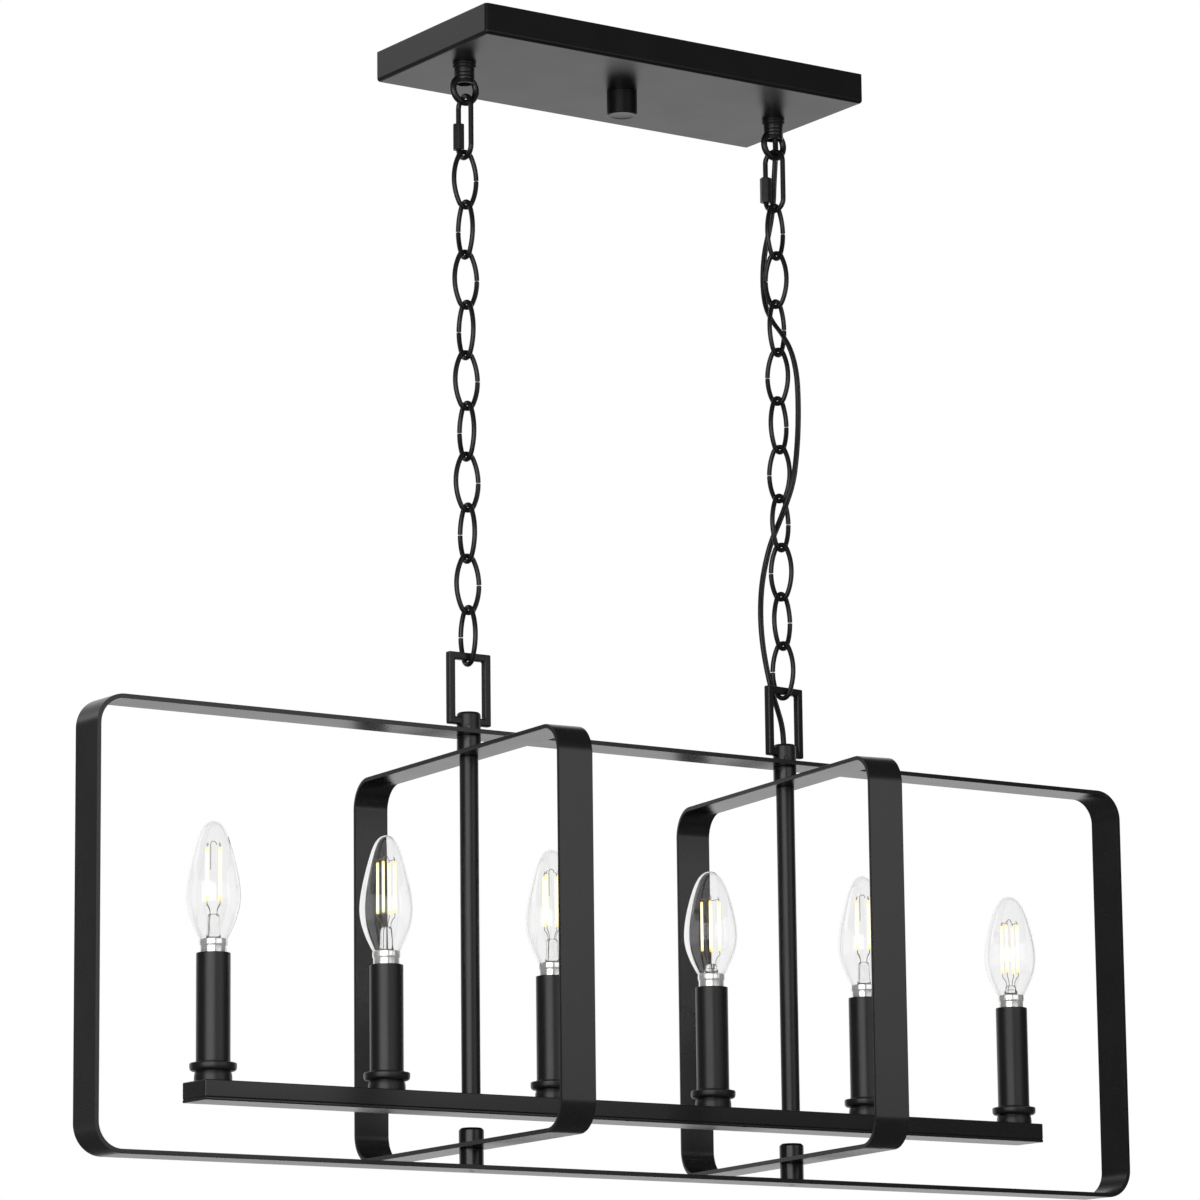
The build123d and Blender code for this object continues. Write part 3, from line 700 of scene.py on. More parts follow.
def hand_over(piece: Piece, body: Body, slot: Slot, finish: Finish, *nodes: str) -> Piece:
    """Dress a finished piece and give it to its body.

    Args:
        piece: the finished piece.
        body: body it moves with.
        slot: the record's slot its finish belongs to.
        finish: its finish.
        nodes: CAD nodes it stands for.

    Returns:
        The piece.
    """
    piece.data.materials.clear()
    piece.data.materials.append(finish.material())
    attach(piece, body.value)
    if nodes:
        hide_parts(*nodes)
    log.info("piece %s on %s", piece.name, body.value)
    return piece


def set_on_sides(pattern: Piece, word: str, made: str, body: Body, finish: Finish,
                 turns: Sequence[float] = (0.0, 0.0), node: str = "") -> None:
    """Set a turned copy of a pattern on each side, and remove the pattern.

    Args:
        pattern: the piece as modelled, on the middle axis.
        word: first word of the copies' names.
        made: last word of their names.
        body: body they move with.
        finish: their finish.
        turns: turn of the left and the right copy in degrees.
        node: CAD node both stand for, or none where each side has a node of its own.
    """
    for side, turn in zip(SIDES, turns):
        copied = place(copy_of(pattern, f"{word}_{side.name}_{made}"), side.x, turn)
        hand_over(copied, body, Slot.STEEL, finish, node or f"{word}_{side.name}")
    bpy.data.objects.remove(pattern)


class WireBender:
    """Bends one round wire in the XZ plane, starting upwards, by spins and straight pulls."""

    def __init__(self, name: str, wire: float, start: tuple[float, float],
                 tilt: float = 0.0) -> None:
        """Lay the wire's first ring.

        Args:
            name: the piece's name.
            wire: wire diameter in mm.
            start: (x, z) of the wire's start in mm.
            tilt: turn of the start direction from upwards towards -X, in radians.
        """
        settle()
        bpy.ops.mesh.primitive_circle_add(
            vertices=16, radius=wire * MM / 2, fill_type="NOTHING",
            location=(start[0] * MM, 0, start[1] * MM), rotation=(0, -tilt, 0))
        self.piece = begin(name)
        edit()

    def turn(self, centre: tuple[float, float], angle: float, steps: int) -> "WireBender":
        """Bend round a centre towards -X by an angle in radians."""
        bpy.ops.mesh.spin(steps=steps, angle=angle, axis=(0, 1, 0),
                          center=(centre[0] * MM, 0, centre[1] * MM))
        return self

    def run(self, x: float, z: float) -> "WireBender":
        """Pull the wire straight by a distance in mm."""
        bpy.ops.mesh.extrude_region_move(TRANSFORM_OT_translate={"value": (x * MM, 0, z * MM)})
        return self

    def swell(self, factor: float) -> "WireBender":
        """Widen or narrow the ring at the wire's end."""
        bpy.ops.transform.resize(value=(factor, factor, 1))
        return self

    def cut(self) -> Piece:
        """Close the two ends and finish the piece.

        Returns:
            The bent wire.
        """
        bpy.ops.mesh.select_all(action="DESELECT")
        bpy.ops.mesh.select_non_manifold()
        bpy.ops.mesh.fill_holes(sides=0)
        close_up()
        return self.piece


# ---------------------------------------------------------------- camera and studio


@dataclass
class StudioCamera:
    """The photograph's camera, fitted to the straps, canopy and chains."""

    lens: float = 158.57
    yaw: float = 34.65
    pitch: float = 10.79
    roll: float = -0.65
    place: Point = (-2020.99, -2890.59, -1050.1)
    sensor: float = 36.0

    def build(self) -> None:
        """Make the camera and set it in the scene."""
        yaw, pitch, roll = map(math.radians, (self.yaw, self.pitch, self.roll))
        ahead = Vector((math.sin(yaw) * math.cos(pitch), math.cos(yaw) * math.cos(pitch),
                        math.sin(pitch)))
        level = Vector((math.cos(yaw), -math.sin(yaw), 0))
        upright = level.cross(ahead)
        right = level * math.cos(roll) + upright * math.sin(roll)
        up = upright * math.cos(roll) - level * math.sin(roll)
        data = bpy.data.cameras.new("studio_camera")
        data.lens, data.sensor_width = self.lens, self.sensor
        data.clip_start, data.clip_end = 0.05, 60.0
        camera = bpy.data.objects.new("studio_camera", data)
        axes = Matrix((right, up, -ahead)).transposed().to_4x4()
        camera.matrix_world = Matrix.Translation(Vector(self.place) * MM) @ axes
        bpy.context.scene.collection.objects.link(camera)
        bpy.context.scene.camera = camera


@dataclass
class Studio:
    """Pale floor, white surround and soft lamps."""

    floor_height: float = -1500.0
    floor_size: float = 9.0
    ahead: Point = (0.55, 0.8, -0.2)
    ahead_on_floor: Point = (0.57, 0.82, 0.0)
    # Low and high end of a distance or direction, and the brightness there
    floor_fade: tuple[float, ...] = (1.2, 3.8, 0.42, 0.8)
    floor_gloss: tuple[float, ...] = (1.8, 3.4, 0.08, 1.0)
    room_gloss: tuple[float, ...] = (0.45, 0.7, 0.06, 1.0)
    room_light: float = 0.55
    aim: Point = (0.0, 0.0, -0.5)
    # Name, place and size in metres, and watts
    lamps: tuple[tuple[str, Point, tuple[float, float], float], ...] = (
        ("left_box", (-1.79, -1.27, -0.35), (2.2, 1.1), 21.0),
        ("right_box", (0.34, -2.17, -0.2), (2.0, 0.9), 6.3),
        ("high_back_box", (-1.7, 2.1, 0.95), (1.3, 1.1), 5.5))

    def build(self) -> None:
        """Make the floor, the world and the lamps."""
        self.make_floor()
        self.make_world()
        for lamp in self.lamps:
            self.softbox(*lamp)
        bpy.context.scene.view_settings.view_transform = "Standard"

    def make_floor(self) -> None:
        """A plain pale floor that keeps the object's shadow.

        Gloss sees it white only far behind the object, where it runs into the backdrop, and
        dark below and before it, which keeps the lower edges black.
        """
        settle()
        bpy.ops.mesh.primitive_plane_add(size=self.floor_size,
                                         location=(0, 0, self.floor_height * MM))
        floor = begin("studio_floor")
        material = bpy.data.materials.new("pale_matt_floor")
        tree = bare_tree(material)
        path = add_node(tree, "LightPath")
        seen = self.looked_at(tree, path)
        spot = add_node(tree, "TexCoord").outputs["Object"]
        reach = add_node(tree, "VectorMath", {0: spot}, operation="LENGTH")
        fade = add_node(tree, "MapRange",
                        dict(enumerate((reach.outputs["Value"], *self.floor_fade))))
        glow = add_node(tree, "Math", {0: seen, 1: fade.outputs[0]}, operation="MULTIPLY")
        diffuse = add_node(tree, "BsdfDiffuse", {"Color": linear("#f1f1ef")})
        lift = add_node(tree, "Emission", {"Strength": glow.outputs[0]})
        plain = add_node(tree, "AddShader", {0: diffuse.outputs[0], 1: lift.outputs[0]})
        away = add_node(tree, "VectorMath", {0: spot, 1: self.ahead_on_floor},
                        operation="DOT_PRODUCT")
        far = add_node(tree, "MapRange",
                       dict(enumerate((away.outputs["Value"], *self.floor_gloss))))
        mirrored = add_node(tree, "Emission", {"Strength": far.outputs[0]})
        both = add_node(tree, "MixShader", {
            0: path.outputs["Is Glossy Ray"], 1: plain.outputs[0], 2: mirrored.outputs[0]})
        add_node(tree, "OutputMaterial", {"Surface": both.outputs[0]})
        floor.data.materials.append(material)

    def looked_at(self, tree: Any, path: Any) -> Any:
        """Socket that is one for rays from the camera, also through glass."""
        return add_node(tree, "Math", {
            0: path.outputs["Is Camera Ray"], 1: path.outputs["Is Transmission Ray"]},
            operation="MAXIMUM").outputs[0]

    def make_world(self) -> None:
        """White behind the object, and a dimmer room elsewhere for gloss."""
        world = bpy.data.worlds.new("studio_room")
        bpy.context.scene.world = world
        tree = bare_tree(world)
        path = add_node(tree, "LightPath")
        way = add_node(tree, "TexCoord").outputs["Generated"]
        facing = add_node(tree, "VectorMath",
                          {0: way, 1: Vector(self.ahead).normalized()}, operation="DOT_PRODUCT")
        gloss = add_node(tree, "MapRange",
                         dict(enumerate((facing.outputs["Value"], *self.room_gloss))))
        lit = add_node(tree, "Mix", {
            0: path.outputs["Is Glossy Ray"], 2: self.room_light, 3: gloss.outputs[0]})
        strength = add_node(tree, "Math", {0: self.looked_at(tree, path), 1: lit.outputs[0]},
                            operation="MAXIMUM")
        back = add_node(tree, "Background", {
            "Color": linear("#ffffff"), "Strength": strength.outputs[0]})
        add_node(tree, "OutputWorld", {"Surface": back.outputs[0]})

    def softbox(self, name: str, spot: Point, size: tuple[float, float], watts: float) -> None:
        """Hang a rectangular lamp that faces the object's middle.

        Args:
            name: the lamp's name.
            spot: its place in metres.
            size: its width and height in metres.
            watts: its power.
        """
        data = bpy.data.lights.new(name, "AREA")
        data.shape = "RECTANGLE"
        data.size, data.size_y = size
        data.energy = watts
        lamp = bpy.data.objects.new(name, data)
        lamp.location = spot
        lamp.rotation_mode = "QUATERNION"
        lamp.rotation_quaternion = (Vector(self.aim) - Vector(spot)).to_track_quat("-Z", "Y")
        # Seen behind a bulb, a lamp's own white would swallow the glass
        lamp.visible_camera = False
        lamp.visible_transmission = False
        bpy.context.scene.collection.objects.link(lamp)


# ---------------------------------------------------------------- cords


@dataclass
class SupplyCords:
    """The power cord and its thin ground wire, threaded down the right chain.

    Each is cut into pieces at given heights.
    """

    diameter: float = 3.2
    ground_diameter: float = 1.5
    ground_offset: tuple[float, float] = (2.6, 0.85)
    chain_x: float = 130.0
    smooth_degrees: float = 50.0
    rounding: int = 4
    route: tuple[Point, ...] = (
        (0.4, -0.8, -24.0), (0.5, -0.7, -33.0), (3.2, 2.6, -41.0), (5.0, 6.0, -50.0),
        (5.2, 8.0, -63.0), (4.8, 8.7, -79.0), (2.4, 9.8, -96.0), (-1.6, 12.2, -116.0),
        (-2.6, 13.0, -137.0), (-2.4, 10.6, -154.0), (-1.8, 3.6, -166.0), (0.2, -4.8, -176.0),
        (3.2, -11.0, -188.0), (6.0, -13.6, -205.0), (7.2, -13.2, -225.0), (7.0, -12.6, -246.0),
        (4.6, -13.2, -266.0), (1.8, -12.8, -284.0), (-1.0, -7.8, -299.0), (-1.6, 0.2, -311.0),
        (-2.6, 8.4, -323.0), (-4.8, 12.6, -338.0), (-8.0, 13.6, -356.0), (-10.0, 12.4, -377.0),
        (-8.6, 12.2, -396.0), (-5.2, 12.6, -412.0), (-2.4, 11.2, -427.0), (-1.2, 6.8, -440.0),
        (-1.2, 1.6, -452.0), (-1.3, -0.4, -463.0), (-1.3, -0.4, -473.0))
    # Heights where a piece ends, and for each piece the two bodies and the two heights of the joint
    # it crosses
    cuts: tuple[float, ...] = (0.0, -68.0, -240.0, -412.5, -900.0)
    bends: tuple[tuple[Body, Body, float, float], ...] = (
        (Body.CEILING, Body.QUICK, -38.0, -58.0),
        (Body.QUICK, Body.CHAIN_RIGHT, -76.0, -97.0),
        (Body.CHAIN_RIGHT, Body.LINK_RIGHT, -385.0, -406.0),
        (Body.LINK_RIGHT, Body.FIXTURE, -419.0, -440.0))

    def build(self) -> None:
        """Make both cords."""
        self.make("power_cord", self.diameter, (0.0, 0.0), CORD_JACKET)
        self.make("ground_wire", self.ground_diameter, self.ground_offset, GROUND_JACKET)

    def line(self, name: str, offset: tuple[float, float]) -> list[Vector]:
        """Read the cord's smooth line from its NURBS spline.

        Args:
            name: the cord's name.
            offset: its place beside the route in mm.

        Returns:
            Points along the line, in metres.
        """
        points = [((x + self.chain_x + offset[0]) * MM, (y + offset[1]) * MM, z * MM)
                  for x, y, z in self.route]
        mesh = drawn_mesh(name, points, smooth=True)
        line = [vertex.co.copy() for vertex in mesh.vertices]
        bpy.data.meshes.remove(mesh)
        return line

    def make(self, node: str, diameter: float, offset: tuple[float, float], finish: Finish) -> None:
        """Make one cord as a chain of pieces.

        Args:
            node: the CAD node the cord replaces.
            diameter: its diameter in mm.
            offset: its place beside the route in mm.
            finish: its jacket.
        """
        line = self.line(node, offset)
        for number, (above, below) in enumerate(zip(self.cuts, self.cuts[1:]), 1):
            start = min(i for i, p in enumerate(line) if p.z <= above * MM)
            stop = max(i for i, p in enumerate(line) if p.z >= below * MM)
            run = line[start:min(stop + 2, len(line))]
            piece = self.tube(f"{node}_{number}", diameter, run)
            piece.data.materials.append(finish.material())
            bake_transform(piece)
            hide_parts(node)

    def tube(self, name: str, diameter: float, run: list[Vector]) -> Piece:
        """Sweep a round jacket along a line.

        Args:
            name: the piece's name.
            diameter: the jacket's diameter in mm.
            run: the line's points.

        Returns:
            The jacket.
        """
        piece = piece_of(name, drawn_mesh(name, run, diameter / 2, self.rounding))
        take_up(piece)
        edit()
        close_up()
        take_up(piece)
        bpy.ops.object.shade_smooth_by_angle(angle=math.radians(self.smooth_degrees))
        return piece


# ---------------------------------------------------------------- canopy and its loops


@dataclass
class Canopy:
    """Folded sheet pan under the ceiling with its cap nut."""

    length: float = 315.0
    width: float = 138.0
    height: float = 21.0
    sheet: float = 1.2
    bend: float = 2.5
    nut_radius: float = 10.5
    nut_height: float = 16.5

    def build(self) -> None:
        """Make the pan and the cap nut."""
        hand_over(self.pan(), Body.CEILING, Slot.STEEL, CANOPY_COAT, "canopy")
        hand_over(self.cap_nut(), Body.CEILING, Slot.STEEL, CANOPY_COAT, "cap_nut")

    def pan(self) -> Piece:
        """Open box with bent edges, thickened inwards.

        Returns:
            The pan.
        """
        pan = bar_block("canopy_pan", (self.length, self.width, self.height),
                        (0, 0, -self.height / 2))
        edit()
        pick_faces(pan, lambda normal, centre: normal.z > SQUARE_ON)
        bpy.ops.mesh.delete(type="FACE")
        low = -self.height * MM * 0.99
        pick_edges(pan, lambda a, b: abs(a.z - b.z) > MM or (a.z < low and b.z < low))
        bpy.ops.mesh.bevel(offset=self.bend * MM, segments=6, affect="EDGES")
        bpy.ops.mesh.select_all(action="SELECT")
        bpy.ops.mesh.normals_make_consistent(inside=False)
        bpy.ops.object.mode_set(mode="OBJECT")
        thicken(pan, self.sheet)
        return soften(pan, 0.0)

    def cap_nut(self) -> Piece:
        """Closed round nut with a chamfered end and a shallow turned face.

        Returns:
            The nut.
        """
        r, base, top = self.nut_radius, CANOPY_BASE - self.nut_height, CANOPY_BASE
        profile = [(0, base + 0.25), (7.4, base + 0.25), (7.8, base), (r - 0.6, base),
                   (r, base + 0.6), (r, top), (NIPPLE_BORE, top), (NIPPLE_BORE, base + 3),
                   (0, base + 3)]
        return soften(lathe("cap_nut_turned", profile, 72), 0.18)


@dataclass
class CanopyLoop:
    """Threaded shank, flange, neck and ring of one cast loop."""

    flange: float = 8.0
    neck: float = 6.85
    shank: float = 6.5
    bore: float = 5.2
    ring: float = 9.05
    wire: float = 4.5
    start: float = 48.0

    def build(self) -> None:
        """Make one casting and set it under each side."""
        set_on_sides(self.casting(), "canopy_loop", "cast", Body.CEILING, WIRE_COAT,
                     [side.ring_turn for side in SIDES])

    def casting(self) -> Piece:
        """Turned body with thread grooves, joined with the bent ring.

        Returns:
            The casting.
        """
        top, under = CANOPY_BASE, CANOPY_BASE - 3.5
        foot = under - 10.7
        profile = [(self.bore, foot), (self.neck - 0.6, foot), (self.neck, foot + 0.6)]
        for groove in range(3):
            z = foot + 2.4 + groove * 2.4
            profile += [(self.neck, z), (self.neck - 0.25, z + 0.35), (self.neck - 0.25, z + 0.6),
                        (self.neck, z + 0.95)]
        profile += [(self.neck, under), (self.flange - 0.5, under), (self.flange, under + 0.5),
                    (self.flange, top - 1.5), (self.flange - 0.3, top - 1.2),
                    (self.flange, top - 0.9), (self.flange, top), (self.shank, top),
                    (self.shank, top + 7.7),
                    (self.bore, top + 7.7), (self.bore, foot)]
        body = soften(lathe("loop_body", profile, 64), 0.0)
        start = math.radians(self.start)
        bender = WireBender("loop_ring", self.wire, (-self.ring * math.cos(start),
                                                     RING_CENTRE + self.ring * math.sin(start)),
                            math.pi - start)
        bender.turn((0, RING_CENTRE), math.pi + 2 * start, 40)
        ring = soften(bender.cut(), 0.0)
        return joined("canopy_loop_casting", [body, ring])


# ---------------------------------------------------------------- chains


@dataclass
class QuickLink:
    """Oval link with a threaded gate closed by a hexagonal sleeve nut, in the YZ plane."""

    wire: float = 3.6
    length: float = 46.4
    width: float = 18.9
    nut_flats: float = 7.4
    nut_length: float = 18.0
    nut_low: float = 5.4
    gate: float = 8.0
    thread_turns: int = 5
    thread_pitch: float = 0.7
    thread_root: float = 0.86

    def build(self) -> None:
        """Make the link and its nut once and hang a copy on each side."""
        turns = [side.link_turns[0] + 90 for side in SIDES]
        set_on_sides(self.link(), "quick_link", "formed", Body.QUICK, WIRE_COAT, turns)
        set_on_sides(self.nut(), "sleeve_nut", "formed", Body.QUICK, NUT_COAT, turns)

    def link(self) -> Piece:
        """Wire from the gate's upper edge round to its lower edge, with thread below the nut.

        Returns:
            The bent link.
        """
        r = (self.width - self.wire) / 2
        end = (self.length - self.wire) / 2 - r
        gate = -self.nut_low
        bender = WireBender("quick_link_wire", self.wire, (r, QUICK_CENTRE + gate + self.gate / 2))
        bender.run(0, end - gate - self.gate / 2)
        bender.turn((0, QUICK_CENTRE + end), math.pi, 20)
        bender.run(0, -2 * end)
        bender.turn((0, QUICK_CENTRE - end), math.pi, 20)
        for _ in range(self.thread_turns):
            bender.run(0, self.thread_pitch / 2).swell(self.thread_root)
            bender.run(0, self.thread_pitch / 2).swell(1 / self.thread_root)
        bender.run(0, end + gate - self.gate / 2 - self.thread_turns * self.thread_pitch)
        return soften(bender.cut(), 0.0)

    def nut(self) -> Piece:
        """Hexagonal sleeve whose corners are turned round at both ends.

        Returns:
            The nut.
        """
        settle()
        middle = QUICK_CENTRE - self.nut_low
        r = (self.width - self.wire) / 2
        corner = self.nut_flats / math.sqrt(3)
        bpy.ops.mesh.primitive_cylinder_add(
            vertices=6, radius=corner * MM, depth=self.nut_length * MM, end_fill_type="NGON",
            location=(r * MM, 0, middle * MM))
        nut = begin("sleeve_nut_hex")
        drill(nut, round_cutter(2.0, middle - 12, middle + 12, r, 24))
        return soften(nut, 0.55, 3, 50)


@dataclass
class Chain:
    """Oval links of bent wire, each open by a hair's slit at the middle of one leg."""

    wire: float = 3.4
    length: float = 41.9
    width: float = 21.2
    end_radius: float = 5.5
    slit: float = 0.7
    count: int = 10

    def build(self) -> None:
        """Make one link and hang ten turned copies under each side."""
        link = self.link()
        for side in SIDES:
            for number in range(self.count):
                last = number == self.count - 1
                body = side.link_body if last else side.chain_body
                node = f"end_link_{side.name}" if last else f"chain_{side.name}"
                copied = copy_of(link, f"link_{side.name}_{number + 1}")
                turn = side.link_turns[number + 1] + 90 * (number % 2)
                place(copied, side.x, turn, z=FIRST_LINK - number * LINK_PITCH)
                hand_over(copied, body, Slot.STEEL, WIRE_COAT, node)
        bpy.data.objects.remove(link)

    def link(self) -> Piece:
        """Five bends of one wire, from slit edge to slit edge.

        Returns:
            The bent link.
        """
        half = (self.width - self.wire) / 2
        end = (self.length - self.wire) / 2 - self.end_radius
        radius = (half ** 2 + end ** 2 - self.end_radius ** 2) / (2 * (half - self.end_radius))
        side = half - radius
        meet = math.atan2(end, -side)
        first = self.slit / 2 / radius
        start = (side + radius * math.cos(first), radius * math.sin(first))
        bender = WireBender("chain_link_wire", self.wire, start, first)
        bender.turn((side, 0), meet - first, 7)
        bender.turn((0, end), math.pi - 2 * meet, 12)
        bender.turn((-side, 0), 2 * meet, 14)
        bender.turn((0, -end), math.pi - 2 * meet, 12)
        bender.turn((side, 0), meet - first, 7)
        return soften(bender.cut(), 0.18, 2)


# ---------------------------------------------------------------- hanging loops, frames and stems


@dataclass
class HangingLoop:
    """Square-bar loop on a round collar, locked by a grub screw."""

    width: float = 33.0
    height: float = 48.5
    bar: float = 5.0
    edge: float = 1.0
    collar: float = 8.0
    collar_height: float = 12.7

    def build(self) -> None:
        """Make the loop once and set a turned copy on each side."""
        set_on_sides(self.loop(), "hanging_loop", "cast", Body.FIXTURE, SLEEVE_COAT,
                     [side.loop_turn for side in SIDES])

    def loop(self) -> Piece:
        """Block opened by inset and bridge, joined with the turned collar.

        Returns:
            The casting.
        """
        middle = LOOP_TOP - self.height / 2
        block = bar_block("loop_bars", (self.width, self.bar, self.height), (0, 0, middle))
        edit()
        pick_faces(block, lambda normal, centre: abs(normal.y) > SQUARE_ON)
        bpy.ops.mesh.inset(thickness=self.bar * MM, use_individual=True)
        bpy.ops.mesh.bridge_edge_loops()
        close_up()
        soften(block, self.edge, 3)
        r, low, high = self.collar, FRAME_TOP, FRAME_TOP + self.collar_height
        profile = [(NIPPLE_BORE, low), (r, low), (r, high - 2.0), (r - 0.35, high - 0.8),
                   (r - 1.2, high), (NIPPLE_BORE, high), (NIPPLE_BORE, low)]
        collar = lathe("loop_collar", profile, 72)
        cutter = round_cutter(1.85, 4.0, 12.0, steps=20)
        cutter.rotation_euler = (0, math.radians(90), math.radians(-125))
        cutter.location = (0, 0, (FRAME_TOP + 2.2) * MM)
        bpy.ops.object.transform_apply(location=True, rotation=True, scale=True)
        drill(collar, cutter)
        soften(collar, 0.2)
        return joined("hanging_loop_casting", [block, collar])


@dataclass
class StrapFrame:
    """Closed ring of flat strap, bent at four corners."""

    name: str
    length: float
    width: float
    low: float
    high: float
    strap: float = STRAP
    bend: float = 20.0

    def ring(self) -> Piece:
        """Box without its two open sides, bent at the corners and thickened inwards.

        Returns:
            The ring.
        """
        ring = bar_block(self.name, (self.length, self.width, self.high - self.low),
                         (0, 0, (self.low + self.high) / 2))
        edit()
        pick_faces(ring, lambda normal, centre: abs(normal.y) > SQUARE_ON)
        bpy.ops.mesh.delete(type="ONLY_FACE")
        pick_edges(ring, lambda a, b: abs(a.y - b.y) > MM)
        bpy.ops.mesh.bevel(offset=self.bend * MM, segments=16, affect="EDGES")
        close_up()
        thicken(ring, self.strap)
        return ring


@dataclass
class Frames:
    """The long frame, the two cross frames, and what holds them on the stems."""

    long_length: float = 836.0
    long_width: float = 28.0
    cross_length: float = 284.0
    cross_width: float = 25.0
    edge: float = 0.5
    pin: float = 4.75
    screw: float = 3.0
    screw_head: float = 5.75

    def build(self) -> None:
        """Make every strap ring, spacer, cap, screw and stem."""
        self.long_frame()
        for side in SIDES:
            self.cross_frame(side)
        self.turned_pieces()

    def long_frame(self) -> None:
        """Long ring with pin holes above and countersunk holes below."""
        ring = StrapFrame("long_frame_strap", self.long_length, self.long_width,
                          FRAME_BASE, FRAME_TOP).ring()
        sink = [(0, FRAME_BASE - 1), (self.screw_head + 1.15, FRAME_BASE - 1),
                (self.screw + 0.15, FRAME_BASE + 2.75), (self.screw + 0.15, FRAME_BASE + 5),
                (0, FRAME_BASE + 5)]
        for side in SIDES:
            drill(ring, round_cutter(self.pin + 0.3, FRAME_TOP - 5, FRAME_TOP + 2, side.x))
            drill(ring, place(lathe("sink", sink, 40), side.x))
        hand_over(soften(ring, self.edge), Body.FIXTURE, Slot.STEEL, FRAME_COAT, "long_frame")

    def cross_frame(self, side: Side) -> None:
        """Cross ring that turns on the stem's nipple and the lower screw.

        Args:
            side: the suspension it belongs to.
        """
        ring = StrapFrame(f"cross_frame_{side.name}_strap", self.cross_length, self.cross_width,
                          CROSS_BASE, CROSS_TOP).ring()
        place(ring, 0, 90)
        drill(ring, round_cutter(self.pin + 0.3, CROSS_TOP - 5, CROSS_TOP + 2, 0))
        drill(ring, round_cutter(self.screw + 0.3, CROSS_BASE - 2, CROSS_BASE + 5, 0))
        soften(ring, self.edge)
        place(ring, side.x, side.cross_turn)
        hand_over(ring, side.cross_body, Slot.STEEL, FRAME_COAT, f"cross_frame_{side.name}")

    def turned_pieces(self) -> None:
        """Spacers, caps, screws and stems on both axes."""
        cap_base = CROSS_BASE + STRAP
        cap_top = cap_base + 10.5
        patterns = {
            "upper_spacer": (ring_profile(8.0, NIPPLE_BORE, CROSS_TOP, FRAME_TOP - STRAP), 0.4,
                             "upper_spacers"),
            "lower_spacer": (ring_profile(8.0, SCREW_BORE, FRAME_BASE + STRAP, CROSS_BASE), 0.4,
                             "lower_spacers"),
            "lower_cap": ([(SCREW_BORE, cap_base), (8.25, cap_base), (8.25, cap_top - 1.5),
                           (6.75, cap_top), (0, cap_top), (0, cap_top - 2),
                           (SCREW_BORE, cap_top - 2), (SCREW_BORE, cap_base)], 0.4, "lower_caps"),
            "lower_screw": ([(0, FRAME_BASE + 1.2), (1.6, FRAME_BASE + 0.9), (2.2, FRAME_BASE),
                             (5.7, FRAME_BASE), (5.7, FRAME_BASE + 0.2), (3.0, FRAME_BASE + 2.8),
                             (3.0, cap_top - 2.3), (0, cap_top - 2.3)], 0.0, "lower_screws"),
            "stem": (ring_profile(6.25, NIPPLE_BORE, BAR_TOP, CROSS_TOP - STRAP - 0.1), 0.25, ""),
        }
        for word, (profile, edge, node) in patterns.items():
            finish = SLEEVE_COAT if word == "stem" else FRAME_COAT
            set_on_sides(soften(lathe(word, profile, 56), edge), word, "turned", Body.FIXTURE,
                         finish, node=node)


# ---------------------------------------------------------------- candle bar and candles


@dataclass
class CandleBar:
    """Inverted channel with closed ends and the plate that closes it from below."""

    length: float = 678.0
    width: float = 29.0
    cover: float = 2.0
    sheet: float = 1.5

    def build(self) -> None:
        """Make the channel and the cover plate."""
        hand_over(self.channel(), Body.FIXTURE, Slot.STEEL, FRAME_COAT, "candle_bar")
        plate = bar_block("bar_cover_plate", (self.length, self.width, self.cover),
                          (0, 0, BAR_BASE + self.cover / 2))
        hand_over(soften(plate, 0.45), Body.FIXTURE, Slot.STEEL, FRAME_COAT, "bar_cover")

    def channel(self) -> Piece:
        """Box open below, thickened inwards, with its edges eased.

        Returns:
            The channel.
        """
        base = BAR_BASE + self.cover
        bar = bar_block("candle_bar_channel", (self.length, self.width, BAR_TOP - base),
                        (0, 0, (BAR_TOP + base) / 2))
        edit()
        pick_faces(bar, lambda normal, centre: normal.z < -SQUARE_ON)
        bpy.ops.mesh.delete(type="ONLY_FACE")
        bpy.ops.object.mode_set(mode="OBJECT")
        thicken(bar, self.sheet)
        return soften(bar, 0.7, 3)


